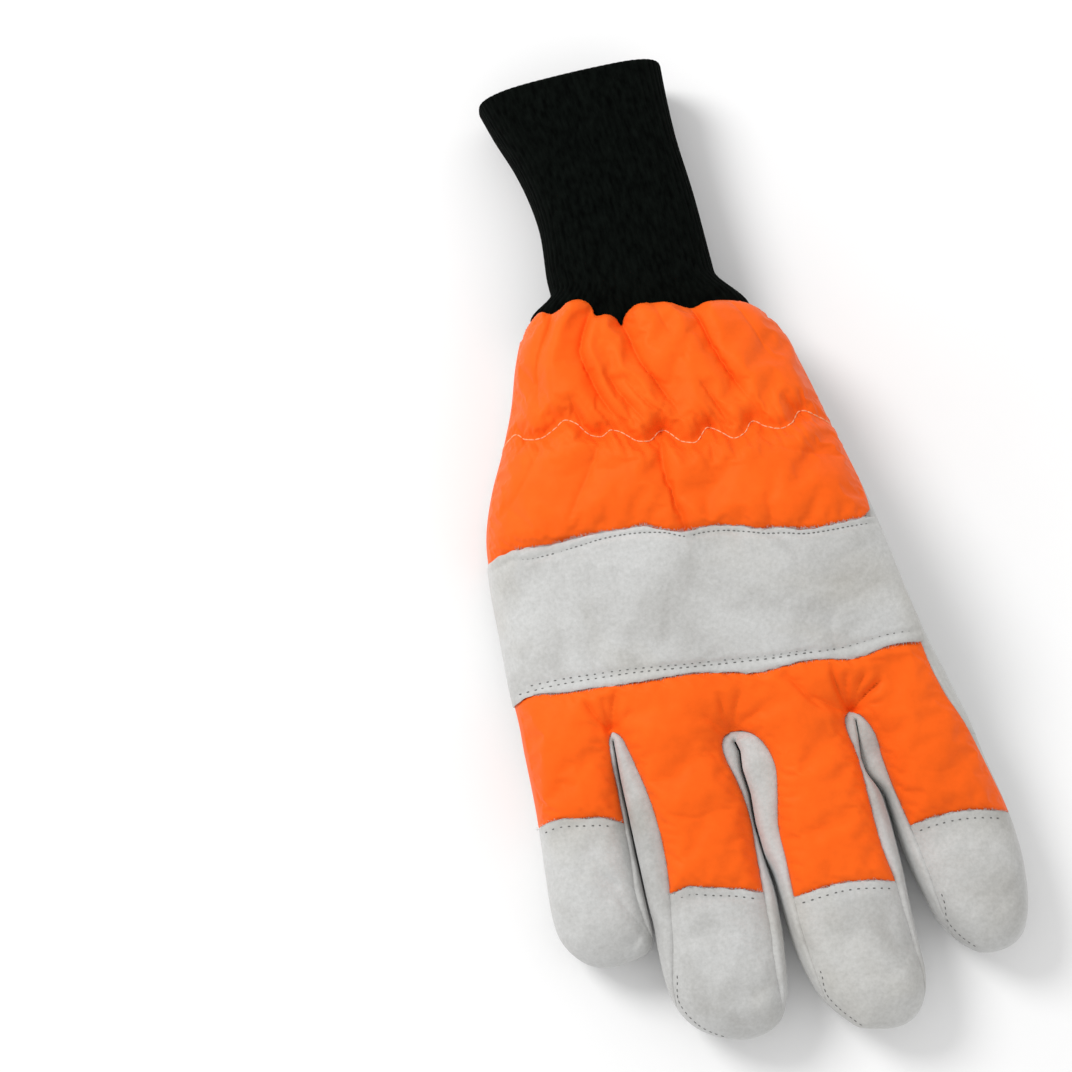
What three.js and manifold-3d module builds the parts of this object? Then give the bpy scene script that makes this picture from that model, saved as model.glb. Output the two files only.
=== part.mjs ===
// A right-hand padded work glove lying palm down, with its empty thumb folded flat under the palm.
// It is sewn from a knitted cuff, a gathered wrist panel, a knuckle strap, a back panel with four
// tongues, four fingertip caps, three forks between the fingers, a one-piece palm and a thumb.
// Millimetres, +Z up. The fingers point to -Y, the cuff to +Y, and the index side is +X.
import * as THREE from "three";
import { mergeVertices } from "three/addons/utils/BufferGeometryUtils.js";
import Module from "manifold-3d";

const wasm = await Module();
wasm.setup();

// Driving sizes of the hand.
const handLength = 120; // wrist seam to the line of the finger crotches
const palmWidth = 115; // across the knuckles
const handHeight = 40; // floor to the crown of the back, with the thumb folded below
const wristY = 68; // the wrist seam, on the centre line
const crossSlant = 0.165; // every cross seam falls this much towards the index side
const sectionSquareness = 2.9; // 2 is an ellipse, more is boxier
const leather = 1.6;
const paddedCloth = 2.8;
const seamGap = 0.3;

// Driving sizes of the strap and the cuff.
const strapStart = 0.567 * handLength; // wrist seam to the strap's upper edge
const strapWidth = 39;
const strapLift = 1.2; // the strap is sewn on top of the cloth
const cuffLength = 74;
const cuffWidth = 45;
const cuffHeight = 30;
const cuffWall = 2.6;
const cuffFlare = 10; // length over which the cuff widens into the wrist seam

// Driving sizes of the thumb, which turns down through the palm and lies across under it.
const thumbLength = 48; // palm hole to tip
const thumbWidth = 38;
const thumbThickness = 15.5;
const thumbX = 0.27 * palmWidth; // middle of the palm hole
const thumbY = wristY - 0.633 * handLength;
const thumbRise = 12; // how far the thumb's tube is carried up before the palm trims it

// Driving sizes of the fingers: those of the middle finger, and the length of its leather cap.
const fingerLength = 87;
const fingerWidth = 34.2;
const fingerThickness = 26;
const capLength = 40;

// Each finger's size as shares of those.
const fingerSizes = [
  { name: "little", length: 0.736, width: 0.772, thickness: 0.885, cap: 1.025 },
  { name: "ring", length: 0.989, width: 0.977, thickness: 0.962, cap: 1.025 },
  { name: "middle", length: 1, width: 1, thickness: 1, cap: 1 },
  { name: "index", length: 0.793, width: 0.906, thickness: 0.962, cap: 0.95 },
];

// Where each finger leaves the hand. root is its middle's distance from the centre line as a share of
// palmWidth, lean its sideways move to the tip as a share of fingerLength, and turn the fall of its
// cross seams towards the index side. rise is its middle's height as a share of handHeight, and
// climb the slope at which it runs up into the hand.
const fingerPlaces = [
  { root: -0.433, lean: -0.033, turn: 0.2, rise: 0.3, climb: 0 },
  { root: -0.176, lean: -0.023, turn: 0.2, rise: 0.375, climb: 0.08 },
  { root: 0.12, lean: 0.025, turn: 0.12, rise: 0.425, climb: 0.16 },
  { root: 0.395, lean: 0.078, turn: 0.08, rise: 0.463, climb: 0.25 },
];

const forkDrop = 6; // how far below the side seams the forks are sewn to the palm
const tongueShare = 0.72; // half width of a tongue or cap, as a share of the finger's half width
const tipSeamShare = 0.93; // the same at the very tip, where the seam runs round the end

// Sections of the hand. along is a share of handLength; left and right are shares of palmWidth;
// the side seams' heights, the crown above them and the belly below are shares of handHeight.
const handSections = [
  { along: 0, left: -0.283, right: 0.291, seamLeft: 0.4, seamRight: 0.4, crown: 0.46, belly: 0.36 },
  { along: 0.1, left: -0.327, right: 0.337, seamLeft: 0.35, seamRight: 0.41, crown: 0.53, belly: 0.33 },
  { along: 0.2, left: -0.363, right: 0.36, seamLeft: 0.3, seamRight: 0.45, crown: 0.57, belly: 0.3 },
  { along: 0.3, left: -0.409, right: 0.378, seamLeft: 0.26, seamRight: 0.5, crown: 0.56, belly: 0.25 },
  { along: 0.4, left: -0.46, right: 0.395, seamLeft: 0.23, seamRight: 0.6, crown: 0.56, belly: 0.2 },
  { along: 0.5, left: -0.498, right: 0.41, seamLeft: 0.2, seamRight: 0.69, crown: 0.54, belly: 0.16 },
  { along: 0.6, left: -0.512, right: 0.424, seamLeft: 0.19, seamRight: 0.72, crown: 0.5, belly: 0.15 },
  { along: 0.75, left: -0.522, right: 0.446, seamLeft: 0.19, seamRight: 0.69, crown: 0.44, belly: 0.16 },
  { along: 0.9, left: -0.53, right: 0.48, seamLeft: 0.24, seamRight: 0.56, crown: 0.39, belly: 0.23 },
  { along: 1, left: -0.529, right: 0.51, seamLeft: 0.28, seamRight: 0.47, crown: 0.34, belly: 0.27 },
];

// Folds of the gathered cloth. Each valley runs from one point to another: across is a share of the
// half width (-1 little side, 1 index side), along a share of handLength. depth and width are
// shares of the hand's crown and half width.
const folds = [
  { across: -0.78, along: 0, acrossEnd: -0.62, alongEnd: 0.29, depth: 0.1, width: 0.06 },
  { across: -0.34, along: 0, acrossEnd: 0.02, alongEnd: 0.33, depth: 0.2, width: 0.09 },
  { across: -0.02, along: 0, acrossEnd: 0.3, alongEnd: 0.32, depth: 0.15, width: 0.06 },
  { across: 0.36, along: 0, acrossEnd: 0.66, alongEnd: 0.3, depth: 0.15, width: 0.06 },
  { across: -0.2, along: 0.36, acrossEnd: -0.36, alongEnd: 0.52, depth: 0.08, width: 0.07 },
  { across: 0.06, along: 0.33, acrossEnd: 0.18, alongEnd: 0.55, depth: 0.12, width: 0.06 },
  { across: 0.52, along: 0.33, acrossEnd: 0.62, alongEnd: 0.54, depth: 0.07, width: 0.08 },
];
// The elastic's line across the panel: where it lies along the hand and how deep it draws the cloth.
const shirring = { along: 0.315, depth: 0.14, width: 0.035 };

// Sections of the cuff above its flare. along is a share of cuffLength, shift and width are shares of
// cuffWidth, and height a share of cuffHeight.
const cuffSections = [
  { along: 0.2, shift: 0.02, width: 1.03, height: 0.98, slant: 0.12 },
  { along: 0.45, shift: 0.035, width: 1, height: 0.98, slant: 0.06 },
  { along: 0.7, shift: 0, width: 1.04, height: 1, slant: 0.02 },
  { along: 0.87, shift: -0.035, width: 1.13, height: 1, slant: 0 },
  { along: 1, shift: -0.055, width: 1.2, height: 0.97, slant: 0 },
];

// Sections of each finger from inside the hand (negative along) to the tip. along is a share of the
// finger's length, width and thickness are shares of its own width and thickness.
const fingerSections = {
  little: [
    { along: -0.3, width: 0.7, thickness: 0.6 },
    { along: 0, width: 0.95, thickness: 1 },
    { along: 0.35, width: 0.98, thickness: 1 },
    { along: 0.7, width: 1, thickness: 0.98 },
    { along: 0.86, width: 0.94, thickness: 0.9 },
    { along: 0.95, width: 0.76, thickness: 0.68 },
    { along: 0.99, width: 0.42, thickness: 0.36 },
  ],
  ring: [
    { along: -0.25, width: 0.7, thickness: 0.6 },
    { along: 0, width: 0.95, thickness: 1 },
    { along: 0.35, width: 0.98, thickness: 1 },
    { along: 0.7, width: 1.02, thickness: 0.98 },
    { along: 0.85, width: 0.93, thickness: 0.88 },
    { along: 0.95, width: 0.65, thickness: 0.62 },
    { along: 0.99, width: 0.34, thickness: 0.33 },
  ],
  middle: [
    { along: -0.25, width: 0.7, thickness: 0.6 },
    { along: 0, width: 0.96, thickness: 1 },
    { along: 0.35, width: 1, thickness: 1 },
    { along: 0.65, width: 0.97, thickness: 0.97 },
    { along: 0.84, width: 0.84, thickness: 0.86 },
    { along: 0.95, width: 0.57, thickness: 0.6 },
    { along: 0.99, width: 0.3, thickness: 0.32 },
  ],
  index: [
    { along: -0.3, width: 0.6, thickness: 0.6 },
    { along: 0, width: 0.88, thickness: 1 },
    { along: 0.3, width: 0.98, thickness: 1 },
    { along: 0.55, width: 0.99, thickness: 0.98 },
    { along: 0.8, width: 0.83, thickness: 0.86 },
    { along: 0.94, width: 0.56, thickness: 0.6 },
    { along: 0.99, width: 0.28, thickness: 0.32 },
  ],
};

// Sections of the thumb. back is the way from the palm hole towards the little side as a share of
// thumbLength, height the middle's height as a share of thumbThickness, and turn the angle in
// degrees that the tube still has to turn before it lies flat.
const thumbSections = [
  { back: 0, height: 1.35, turn: 90, width: 1, thickness: 1 },
  { back: 0.02, height: 0.84, turn: 60, width: 1, thickness: 1.03 },
  { back: 0.12, height: 0.59, turn: 25, width: 0.99, thickness: 1.05 },
  { back: 0.32, height: 0.51, turn: 0, width: 0.97, thickness: 1.02 },
  { back: 0.7, height: 0.46, turn: 0, width: 0.9, thickness: 0.9 },
  { back: 0.88, height: 0.4, turn: 0, width: 0.74, thickness: 0.7 },
  { back: 0.97, height: 0.35, turn: 0, width: 0.42, thickness: 0.4 },
];

// Counts that set how finely the shapes are faceted.
const handSides = 34;
const handSteps = 17;
const fingerSides = 14;
const fingerSteps = 8;
const cuffSides = 26;
const cuffSteps = 7;
const thumbSides = 14;
const thumbSteps = 8;

const far = 4 * palmWidth; // reaches past the glove on every side
const floorPress = 0.5; // how far leather and knit are flattened where they rest
const restShare = 0.96; // a finger's middle lies this much of its half thickness above the floor

const fingers = fingerSizes.map((size, i) => ({
  name: size.name,
  length: size.length * fingerLength,
  width: size.width * fingerWidth,
  thickness: size.thickness * fingerThickness,
  cap: size.cap * capLength,
  root: fingerPlaces[i].root * palmWidth,
  lean: fingerPlaces[i].lean * fingerLength,
  turn: fingerPlaces[i].turn,
  rootZ: fingerPlaces[i].rise * handHeight,
  climb: fingerPlaces[i].climb,
}));

// A height, kept from sinking below the floor. grow is the distance of this surface from the skin.
const onFloor = (z, grow) => Math.max(z - floorPress, -grow);

// A column of a table as a smooth function of another column.
function smooth(rows, key, at, by = "along") {
  let i = 0;
  while (i < rows.length - 2 && at > rows[i + 1][by]) i += 1;
  const [a, b] = [rows[i], rows[i + 1]];
  const before = rows[i - 1] ?? a;
  const after = rows[i + 2] ?? b;
  const span = b[by] - a[by];
  const t = (at - a[by]) / span;
  const slope = (p, q) => (q === p ? 0 : ((q[key] - p[key]) / (q[by] - p[by])) * span);
  if (t <= 0 || t >= 1) return a[key] + t * (b[key] - a[key]);
  const [m0, m1] = [slope(before, b), slope(a, after)];
  return (
    (2 * t ** 3 - 3 * t ** 2 + 1) * a[key] +
    (t ** 3 - 2 * t ** 2 + t) * m0 +
    (3 * t ** 2 - 2 * t ** 3) * b[key] +
    (t ** 3 - t ** 2) * m1
  );
}

// Point number k of n round a squared-off ellipse: x from 1 to -1 over the top, then back below.
function squared(k, n) {
  const angle = (2 * Math.PI * k) / n;
  const power = 2 / sectionSquareness;
  const [c, s] = [Math.cos(angle), Math.sin(angle)];
  return [Math.sign(c) * Math.abs(c) ** power, Math.sign(s) * Math.abs(s) ** power];
}

// A closed solid through rings with equal numbers of points, with a flat or pointed end on each.
function loft(rings) {
  const count = rings[0].length;
  const ends = [rings[0], rings[rings.length - 1]].map((ring) =>
    ring.reduce((sum, p) => sum.add(p), new THREE.Vector3()).divideScalar(count),
  );
  const points = [...rings.flat(), ...ends];
  const [startPoint, endPoint] = [points.length - 2, points.length - 1];
  const last = (rings.length - 1) * count;
  const faces = [];
  for (let k = 0; k < count; k += 1) {
    const next = (k + 1) % count;
    faces.push(startPoint, next, k, endPoint, last + k, last + next);
    for (let r = 0; r < rings.length - 1; r += 1) {
      const [a, b] = [r * count + k, r * count + next];
      faces.push(a, b, b + count, a, b + count, a + count);
    }
  }
  return solid(new THREE.BufferGeometry().setFromPoints(points).setIndex(faces));
}

// A manifold solid from a geometry's triangles.
function solid(geometry) {
  geometry.deleteAttribute("normal").deleteAttribute("uv");
  const merged = mergeVertices(geometry, 1e-4);
  const mesh = new wasm.Mesh({
    numProp: 3,
    vertProperties: merged.attributes.position.array,
    triVerts: new Uint32Array(merged.index.array),
  });
  return new wasm.Manifold(mesh);
}

// An upright prism through the whole glove, over a plan outline.
function prism(outline) {
  const shape = new THREE.Shape(outline.map(([x, y]) => new THREE.Vector2(x, y)));
  const extrusion = new THREE.ExtrudeGeometry(shape, { depth: 2 * far, bevelEnabled: false });
  return solid(extrusion.translate(0, 0, -far));
}

const slantedY = (y, x) => y - crossSlant * x;
const grown = seamGap / 2;
const handY = (along) => wristY - along * handLength;

// How far the folds and the elastic draw the cloth in at a place on the back.
function gather(across, along, crown) {
  let drawn = 0;
  for (const fold of folds) {
    const share = (along - fold.along) / (fold.alongEnd - fold.along);
    const middle = fold.across + share * (fold.acrossEnd - fold.across);
    const inside = Math.max(0, Math.min(1, 4 * share + 0.6, 4 * (1 - share))); // fades at both ends
    drawn += fold.depth * inside * Math.exp(-(((across - middle) / fold.width) ** 2));
  }
  const edge = 1 - Math.abs(across) ** 4;
  drawn += shirring.depth * Math.exp(-(((along - shirring.along) / shirring.width) ** 2));
  return crown * drawn * edge;
}

// The hand's section at a place along it, grown outwards by a distance (inwards if negative).
function handRing(along, grow, sides = handSides) {
  const at = (key) => smooth(handSections, key, along);
  const left = at("left") * palmWidth - grow;
  const right = at("right") * palmWidth + grow;
  const [seamLeft, seamRight] = [at("seamLeft") * handHeight, at("seamRight") * handHeight];
  const [crown, belly] = [at("crown") * handHeight, at("belly") * handHeight];
  return Array.from({ length: sides }, (_, k) => {
    const [across, up] = squared(k, sides);
    const x = (left + right) / 2 + (across * (right - left)) / 2;
    const chord = seamLeft + ((seamRight - seamLeft) * (across + 1)) / 2;
    const drawn = up > 0 ? gather(across, along, crown) : 0;
    const z = chord + up * ((up > 0 ? crown : belly) + grow) - drawn;
    return new THREE.Vector3(x, slantedY(handY(along), x), onFloor(z, grow));
  });
}

// The hand from the wrist to the crotches. The hollow is longer at the wrist, so that it is open.
function hand(grow) {
  const [first, last] = grow < 0 ? [-0.08, 1 + grow / handLength] : [0, 1];
  const step = (last - first) / handSteps;
  return loft(Array.from({ length: handSteps + 1 }, (_, i) => handRing(first + i * step, grow)));
}

// A finger's middle, half width and half thickness at a share of its length.
function fingerAt(finger, along) {
  const rows = fingerSections[finger.name];
  const settled = Math.min(1, Math.max(0, along / 0.6));
  const restZ = restShare * (finger.thickness / 2);
  const bend = settled * settled * (3 - 2 * settled);
  return {
    x: finger.root + finger.lean * Math.max(0, along),
    y: slantedY(handY(1), finger.root) - along * finger.length,
    z: finger.rootZ + (restZ - finger.rootZ) * bend + finger.climb * finger.length * Math.max(0, -along),
    halfWidth: (smooth(rows, "width", along) * finger.width) / 2,
    halfThickness: (smooth(rows, "thickness", along) * finger.thickness) / 2,
  };
}

// A finger's tube from inside the hand to its round tip, grown outwards by a distance.
function stall(finger, grow) {
  const rows = fingerSections[finger.name];
  const first = rows[0].along - grow / finger.length;
  const last = rows[rows.length - 1].along + grow / finger.length;
  const rings = Array.from({ length: fingerSteps + 1 }, (_, i) => {
    const share = Math.sin((Math.PI / 2) * (i / fingerSteps)); // closer together at the tip
    const at = fingerAt(finger, first + share * (last - first));
    return Array.from({ length: fingerSides }, (_, k) => {
      const [across, up] = squared(k, fingerSides);
      const x = at.x + across * (at.halfWidth + grow);
      const y = at.y - finger.turn * (x - at.x);
      return new THREE.Vector3(x, y, onFloor(at.z + up * (at.halfThickness + grow), grow));
    });
  });
  return loft(rings);
}

// The thumb's tube, carried up past the palm so that the palm can trim it.
function thumbTube(grow) {
  const first = thumbSections[0];
  const rows = [{ ...first, lift: thumbRise }, ...thumbSections].map((row, i) => ({ lift: 0, ...row, i }));
  const rings = Array.from({ length: thumbSteps + 1 }, (_, k) => {
    const at = (k / thumbSteps) * (rows.length - 1);
    const value = (key) => smooth(rows, key, at, "i");
    const turn = (value("turn") * Math.PI) / 180;
    const middle = new THREE.Vector3(
      thumbX - value("back") * thumbLength,
      thumbY,
      value("height") * thumbThickness + value("lift"),
    );
    const inward = new THREE.Vector3(-Math.sin(turn), 0, Math.cos(turn));
    const [halfWidth, halfThickness] = [
      (value("width") * thumbWidth) / 2 + grow,
      (value("thickness") * thumbThickness) / 2 + grow,
    ];
    return Array.from({ length: thumbSides }, (_, j) => {
      const [across, up] = squared(j, thumbSides);
      const point = middle.clone().addScaledVector(inward, up * halfThickness);
      return point.set(point.x, thumbY - across * halfWidth, onFloor(point.z, grow));
    });
  });
  return loft(rings);
}

// The cuff's tube. Its flare starts from the hand's own wrist section, and ends is how far the tube
// runs past both of the cuff's ends.
function cuffTube(grow, ends) {
  const wrist = handRing(0, grow, cuffSides);
  const start = wristY + seamGap;
  const rings = Array.from({ length: cuffSteps + 1 }, (_, i) => {
    const along = (i / cuffSteps) ** 1.25;
    const flare = Math.min(1, (along * cuffLength) / cuffFlare);
    const blend = flare * flare * (3 - 2 * flare);
    const at = (key) => smooth(cuffSections, key, Math.max(along, cuffSections[0].along));
    const halfHeight = (at("height") * cuffHeight) / 2;
    return wrist.map((point, k) => {
      const [across, up] = squared(k, cuffSides);
      const x = at("shift") * cuffWidth + across * ((at("width") * cuffWidth) / 2 + grow);
      const z = cuffHeight / 2 + up * (halfHeight + grow);
      const slant = crossSlant + (at("slant") - crossSlant) * blend;
      const y = start + along * cuffLength;
      const wide = new THREE.Vector3(point.x, 0, point.z);
      const placed = wide.lerp(new THREE.Vector3(x, 0, onFloor(z, grow)), blend);
      return placed.setY(y - slant * placed.x + (i === 0 ? -ends : i === cuffSteps ? ends : 0));
    });
  });
  return loft(rings.reverse());
}

// The space above the side seams, lowered by a distance: hand first, then out past the fingertips.
function aboveSeams(lower) {
  const rows = handSections.map((row) => ({
    y: handY(row.along),
    left: row.seamLeft * handHeight,
    right: row.seamRight * handHeight,
    fromX: row.left * palmWidth,
    toX: row.right * palmWidth,
  }));
  const [little, index] = [fingers[0], fingers[fingers.length - 1]];
  for (const share of [0.35, 0.6, 2]) {
    rows.push({
      y: handY(1) - share * fingerLength,
      left: fingerAt(little, share).z,
      right: fingerAt(index, share).z,
      fromX: little.root,
      toX: index.root,
    });
  }
  rows.unshift({ ...rows[0], y: wristY + far });
  const rings = rows.map((row) => {
    const corner = (x, z) => new THREE.Vector3(x, slantedY(row.y, x), z - floorPress - lower);
    const seams = [corner(-far, row.left), corner(row.fromX, row.left), corner(row.toX, row.right)];
    return [corner(far, row.right), corner(far, far), corner(-far, far), ...seams];
  });
  return loft(rings);
}

// A plan strip across the glove between two distances from the wrist seam.
function crossStrip(from, to) {
  const corner = (x, distance) => [x, slantedY(wristY - distance, x)];
  return [corner(-far, from), corner(-far, to), corner(far, to), corner(far, from)];
}

// The plan outline of a tongue or cap: along the finger between two shares of its length, with both
// edges a share of the half width out. An outer side runs on past the finger.
function fingerStrip(finger, from, to, grow) {
  const number = fingers.indexOf(finger);
  const steps = 6;
  const edge = (side) => {
    const outer = side < 0 ? number === 0 : number === fingers.length - 1;
    return Array.from({ length: steps + 1 }, (_, i) => {
      const along = from + ((to - from) * i) / steps;
      const at = fingerAt(finger, Math.min(along, 0.97)); // keeps some width at the very tip
      const capStart = 1 - finger.cap / finger.length;
      const tip = Math.max(0, (along - capStart) / (1 - capStart));
      const share = tongueShare + (tipSeamShare - tongueShare) * tip * tip;
      const reach = outer ? 1.6 * finger.width : share * at.halfWidth + grow;
      return [at.x + side * reach, fingerAt(finger, along).y - finger.turn * side * reach];
    });
  };
  return [...edge(-1), ...edge(1).reverse()];
}

// The plan space between two neighbouring fingers' centre lines, from just above their crotch.
function betweenFingers(a, b, grow) {
  const steps = 5;
  const line = (finger, side) =>
    Array.from({ length: steps + 1 }, (_, i) => {
      const at = fingerAt(finger, -0.04 - grow / finger.length + (i / steps) * 1.2);
      return [at.x + side * (grow - grown), at.y];
    });
  return [...line(a, -1), ...line(b, 1).reverse()];
}

const outside = fingers.reduce((sum, finger) => sum.add(stall(finger, 0)), hand(0));

// The glove's skin at a wall thickness, open at the wrist.
function skin(wall) {
  const hollow = fingers.reduce((sum, finger) => sum.add(stall(finger, -wall)), hand(-wall));
  return outside.subtract(hollow);
}

const leatherSkin = skin(leather);
const clothSkin = skin(paddedCloth);
const upper = aboveSeams(0);
const upperWithSeam = aboveSeams(seamGap);
const strapEnd = strapStart + strapWidth;
const strip = (from, to) => prism(crossStrip(from, to));

// The back panel with its four tongues, and the same with room for its seam.
function backOutline(grow) {
  const panel = strip(strapEnd + grown - grow, handLength - leather - seamGap + grow);
  return fingers.reduce((sum, finger) => {
    const capStart = 1 - (finger.cap - grow) / finger.length;
    return sum.add(prism(fingerStrip(finger, -0.12, capStart, grow)));
  }, panel);
}

// A fingertip cap's outline: from the tongue's edge past the tip.
const capOutline = (finger, grow) =>
  prism(fingerStrip(finger, 1 - (finger.cap + grow) / finger.length, 1.15, grow));

const forkOutline = (i, grow) =>
  prism(betweenFingers(fingers[i], fingers[i + 1], grow)).intersect(aboveSeams(forkDrop + grow));

// The largest body of a solid that a cut may have left crumbs on.
function mainBody(cut) {
  return cut.decompose().reduce((best, body) => (body.volume() > best.volume() ? body : best));
}

const backWithSeam = backOutline(seamGap);
const thumbHollow = thumbTube(-leather);
const back = clothSkin.intersect(upper).intersect(backOutline(0));
const wristPanel = clothSkin.intersect(upper).intersect(strip(0, strapStart - grown));
const strap = hand(strapLift)
  .subtract(hand(-leather))
  .intersect(upper)
  .intersect(strip(strapStart + grown, strapEnd - grown));
const caps = fingers.map((finger) =>
  leatherSkin.intersect(upper).intersect(capOutline(finger, 0)).subtract(backWithSeam),
);
const covered = fingers
  .reduce((sum, finger) => sum.add(capOutline(finger, seamGap)), backWithSeam)
  .intersect(upperWithSeam);
const forks = fingers.slice(1).map((_, i) => leatherSkin.intersect(forkOutline(i, 0)).subtract(covered));
const palm = forks
  .reduce((sum, _, i) => sum.subtract(forkOutline(i, seamGap)), leatherSkin.subtract(upperWithSeam))
  .subtract(thumbHollow);
const thumb = thumbTube(0).subtract(thumbHollow).subtract(hand(seamGap));
const cuff = cuffTube(0, 0).subtract(cuffTube(-cuffWall, cuffWall));

// Materials for each kind of stuff that the glove is sewn from. Each piece gets a copy of its own.
const materials = {
  knit: new THREE.MeshStandardMaterial({ color: 0x0b0e0e, roughness: 0.95 }),
  cloth: new THREE.MeshStandardMaterial({ color: 0xf7631f, roughness: 0.85 }),
  leather: new THREE.MeshStandardMaterial({ color: 0xbdbdb9, roughness: 0.9 }),
};

const glove = new THREE.Group();

function addPiece(name, cut, material) {
  const mesh = mainBody(cut).getMesh();
  const vertices = new Float32Array(mesh.numVert * 3);
  for (let i = 0; i < mesh.numVert; i += 1) {
    vertices.set(mesh.vertProperties.subarray(i * mesh.numProp, i * mesh.numProp + 3), i * 3);
  }
  const geometry = new THREE.BufferGeometry()
    .setAttribute("position", new THREE.BufferAttribute(vertices, 3))
    .setIndex(new THREE.BufferAttribute(mesh.triVerts, 1));
  geometry.computeVertexNormals();
  const piece = new THREE.Mesh(geometry, material.clone());
  piece.name = name;
  glove.add(piece);
}

addPiece("knit_cuff", cuff, materials.knit);
addPiece("wrist_panel", wristPanel, materials.cloth);
addPiece("knuckle_strap", strap, materials.leather);
addPiece("back_panel", back, materials.cloth);
fingers.forEach((finger, i) => addPiece(`${finger.name}_tip_cap`, caps[i], materials.leather));
forks.forEach((fork, i) =>
  addPiece(`${fingers[i].name}_${fingers[i + 1].name}_fork`, fork, materials.leather),
);
addPiece("palm", palm, materials.leather);
addPiece("thumb", thumb, materials.leather);

// The origin is on the floor, under the middle of the whole glove.
const box = new THREE.Box3().setFromObject(glove);
const middle = box.getCenter(new THREE.Vector3());
glove.position.set(-middle.x, -middle.y, -box.min.z);

export default glove;
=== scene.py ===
"""Visual model of a right-hand padded work glove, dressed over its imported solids.

Lengths in the tables are millimetres in the row frame: fingers to -Y, cuff to +Y, index side +X.
"""

import bpy
import numpy as np
from mathutils import Matrix, Vector


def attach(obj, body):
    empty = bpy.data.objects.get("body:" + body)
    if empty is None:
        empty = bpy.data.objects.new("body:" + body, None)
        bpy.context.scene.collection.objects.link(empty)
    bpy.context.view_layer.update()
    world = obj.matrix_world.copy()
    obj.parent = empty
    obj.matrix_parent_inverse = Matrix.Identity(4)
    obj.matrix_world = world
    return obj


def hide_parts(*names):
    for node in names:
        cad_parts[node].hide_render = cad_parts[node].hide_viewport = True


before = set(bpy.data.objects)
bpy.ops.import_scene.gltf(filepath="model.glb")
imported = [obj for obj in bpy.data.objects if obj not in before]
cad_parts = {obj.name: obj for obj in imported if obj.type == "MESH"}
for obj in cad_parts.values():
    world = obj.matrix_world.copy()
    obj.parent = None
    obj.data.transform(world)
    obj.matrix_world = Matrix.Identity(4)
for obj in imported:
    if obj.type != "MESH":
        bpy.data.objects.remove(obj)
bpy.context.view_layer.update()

HAND_SQUARE, FINGER_SQUARE = 2.9, 2.5  # squareness of the sections, 2 is an ellipse
SUNK = 0.5  # the leather gives way where it lies on the floor
LOWEST = 0.02
SHEET, STRAP_SHEET, PALM_SHEET = 1.6, 1.5, 1.2  # thickness of the cloth and leather
CAP_SHEET, FORK_SHEET, FINGER_SHEET, THUMB_SHEET = 1.1, 0.9, 1.0, 1.0
FORK_DROP = 6  # how far below the side seams the forks are sewn to the palm
CUFF_LENGTH, CUFF_FLARE = 70.6, 10 / 74  # its flare as a share of its length
STITCH_RADIUS, CAP_STITCH_RADIUS = 0.17, 0.19
PUFF_WRIST, PUFF_BACK = 2.0, 1.9  # how far the padding swells between its seams

# The hand from the wrist seam (0) to the finger crotches (1): both side edges, the side seams'
# heights, the crown above them and the belly below.
HAND = [
    (0.0, -32.3, 33.7, 16.0, 16.0, 18.4, 14.4),
    (0.1, -37.4, 39.0, 14.0, 16.4, 21.2, 13.2),
    (0.2, -41.5, 41.7, 12.0, 18.0, 22.8, 12.0),
    (0.3, -46.8, 43.7, 10.4, 20.0, 22.4, 10.0),
    (0.4, -52.7, 45.7, 9.2, 24.0, 22.4, 8.0),
    (0.5, -57.0, 47.4, 8.0, 27.6, 21.6, 6.4),
    (0.6, -58.6, 49.0, 7.6, 28.8, 20.0, 6.0),
    (0.75, -59.8, 51.5, 7.6, 27.6, 17.6, 6.4),
    (0.9, -60.7, 55.5, 9.6, 22.4, 15.6, 9.2),
    (1.0, -60.7, 58.9, 11.2, 18.8, 13.6, 10.8),
    (1.15, -61.9, 62.3, 11.2, 18.0, 13.6, 10.8),
    (1.32, -63.8, 65.2, 11.2, 16.0, 13.6, 10.8),
    (1.6, -65.0, 65.4, 11.2, 14.0, 13.6, 10.8),
]
WRIST_Y, SLANT, LENGTH = 67.4, 0.165, 120.0

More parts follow.
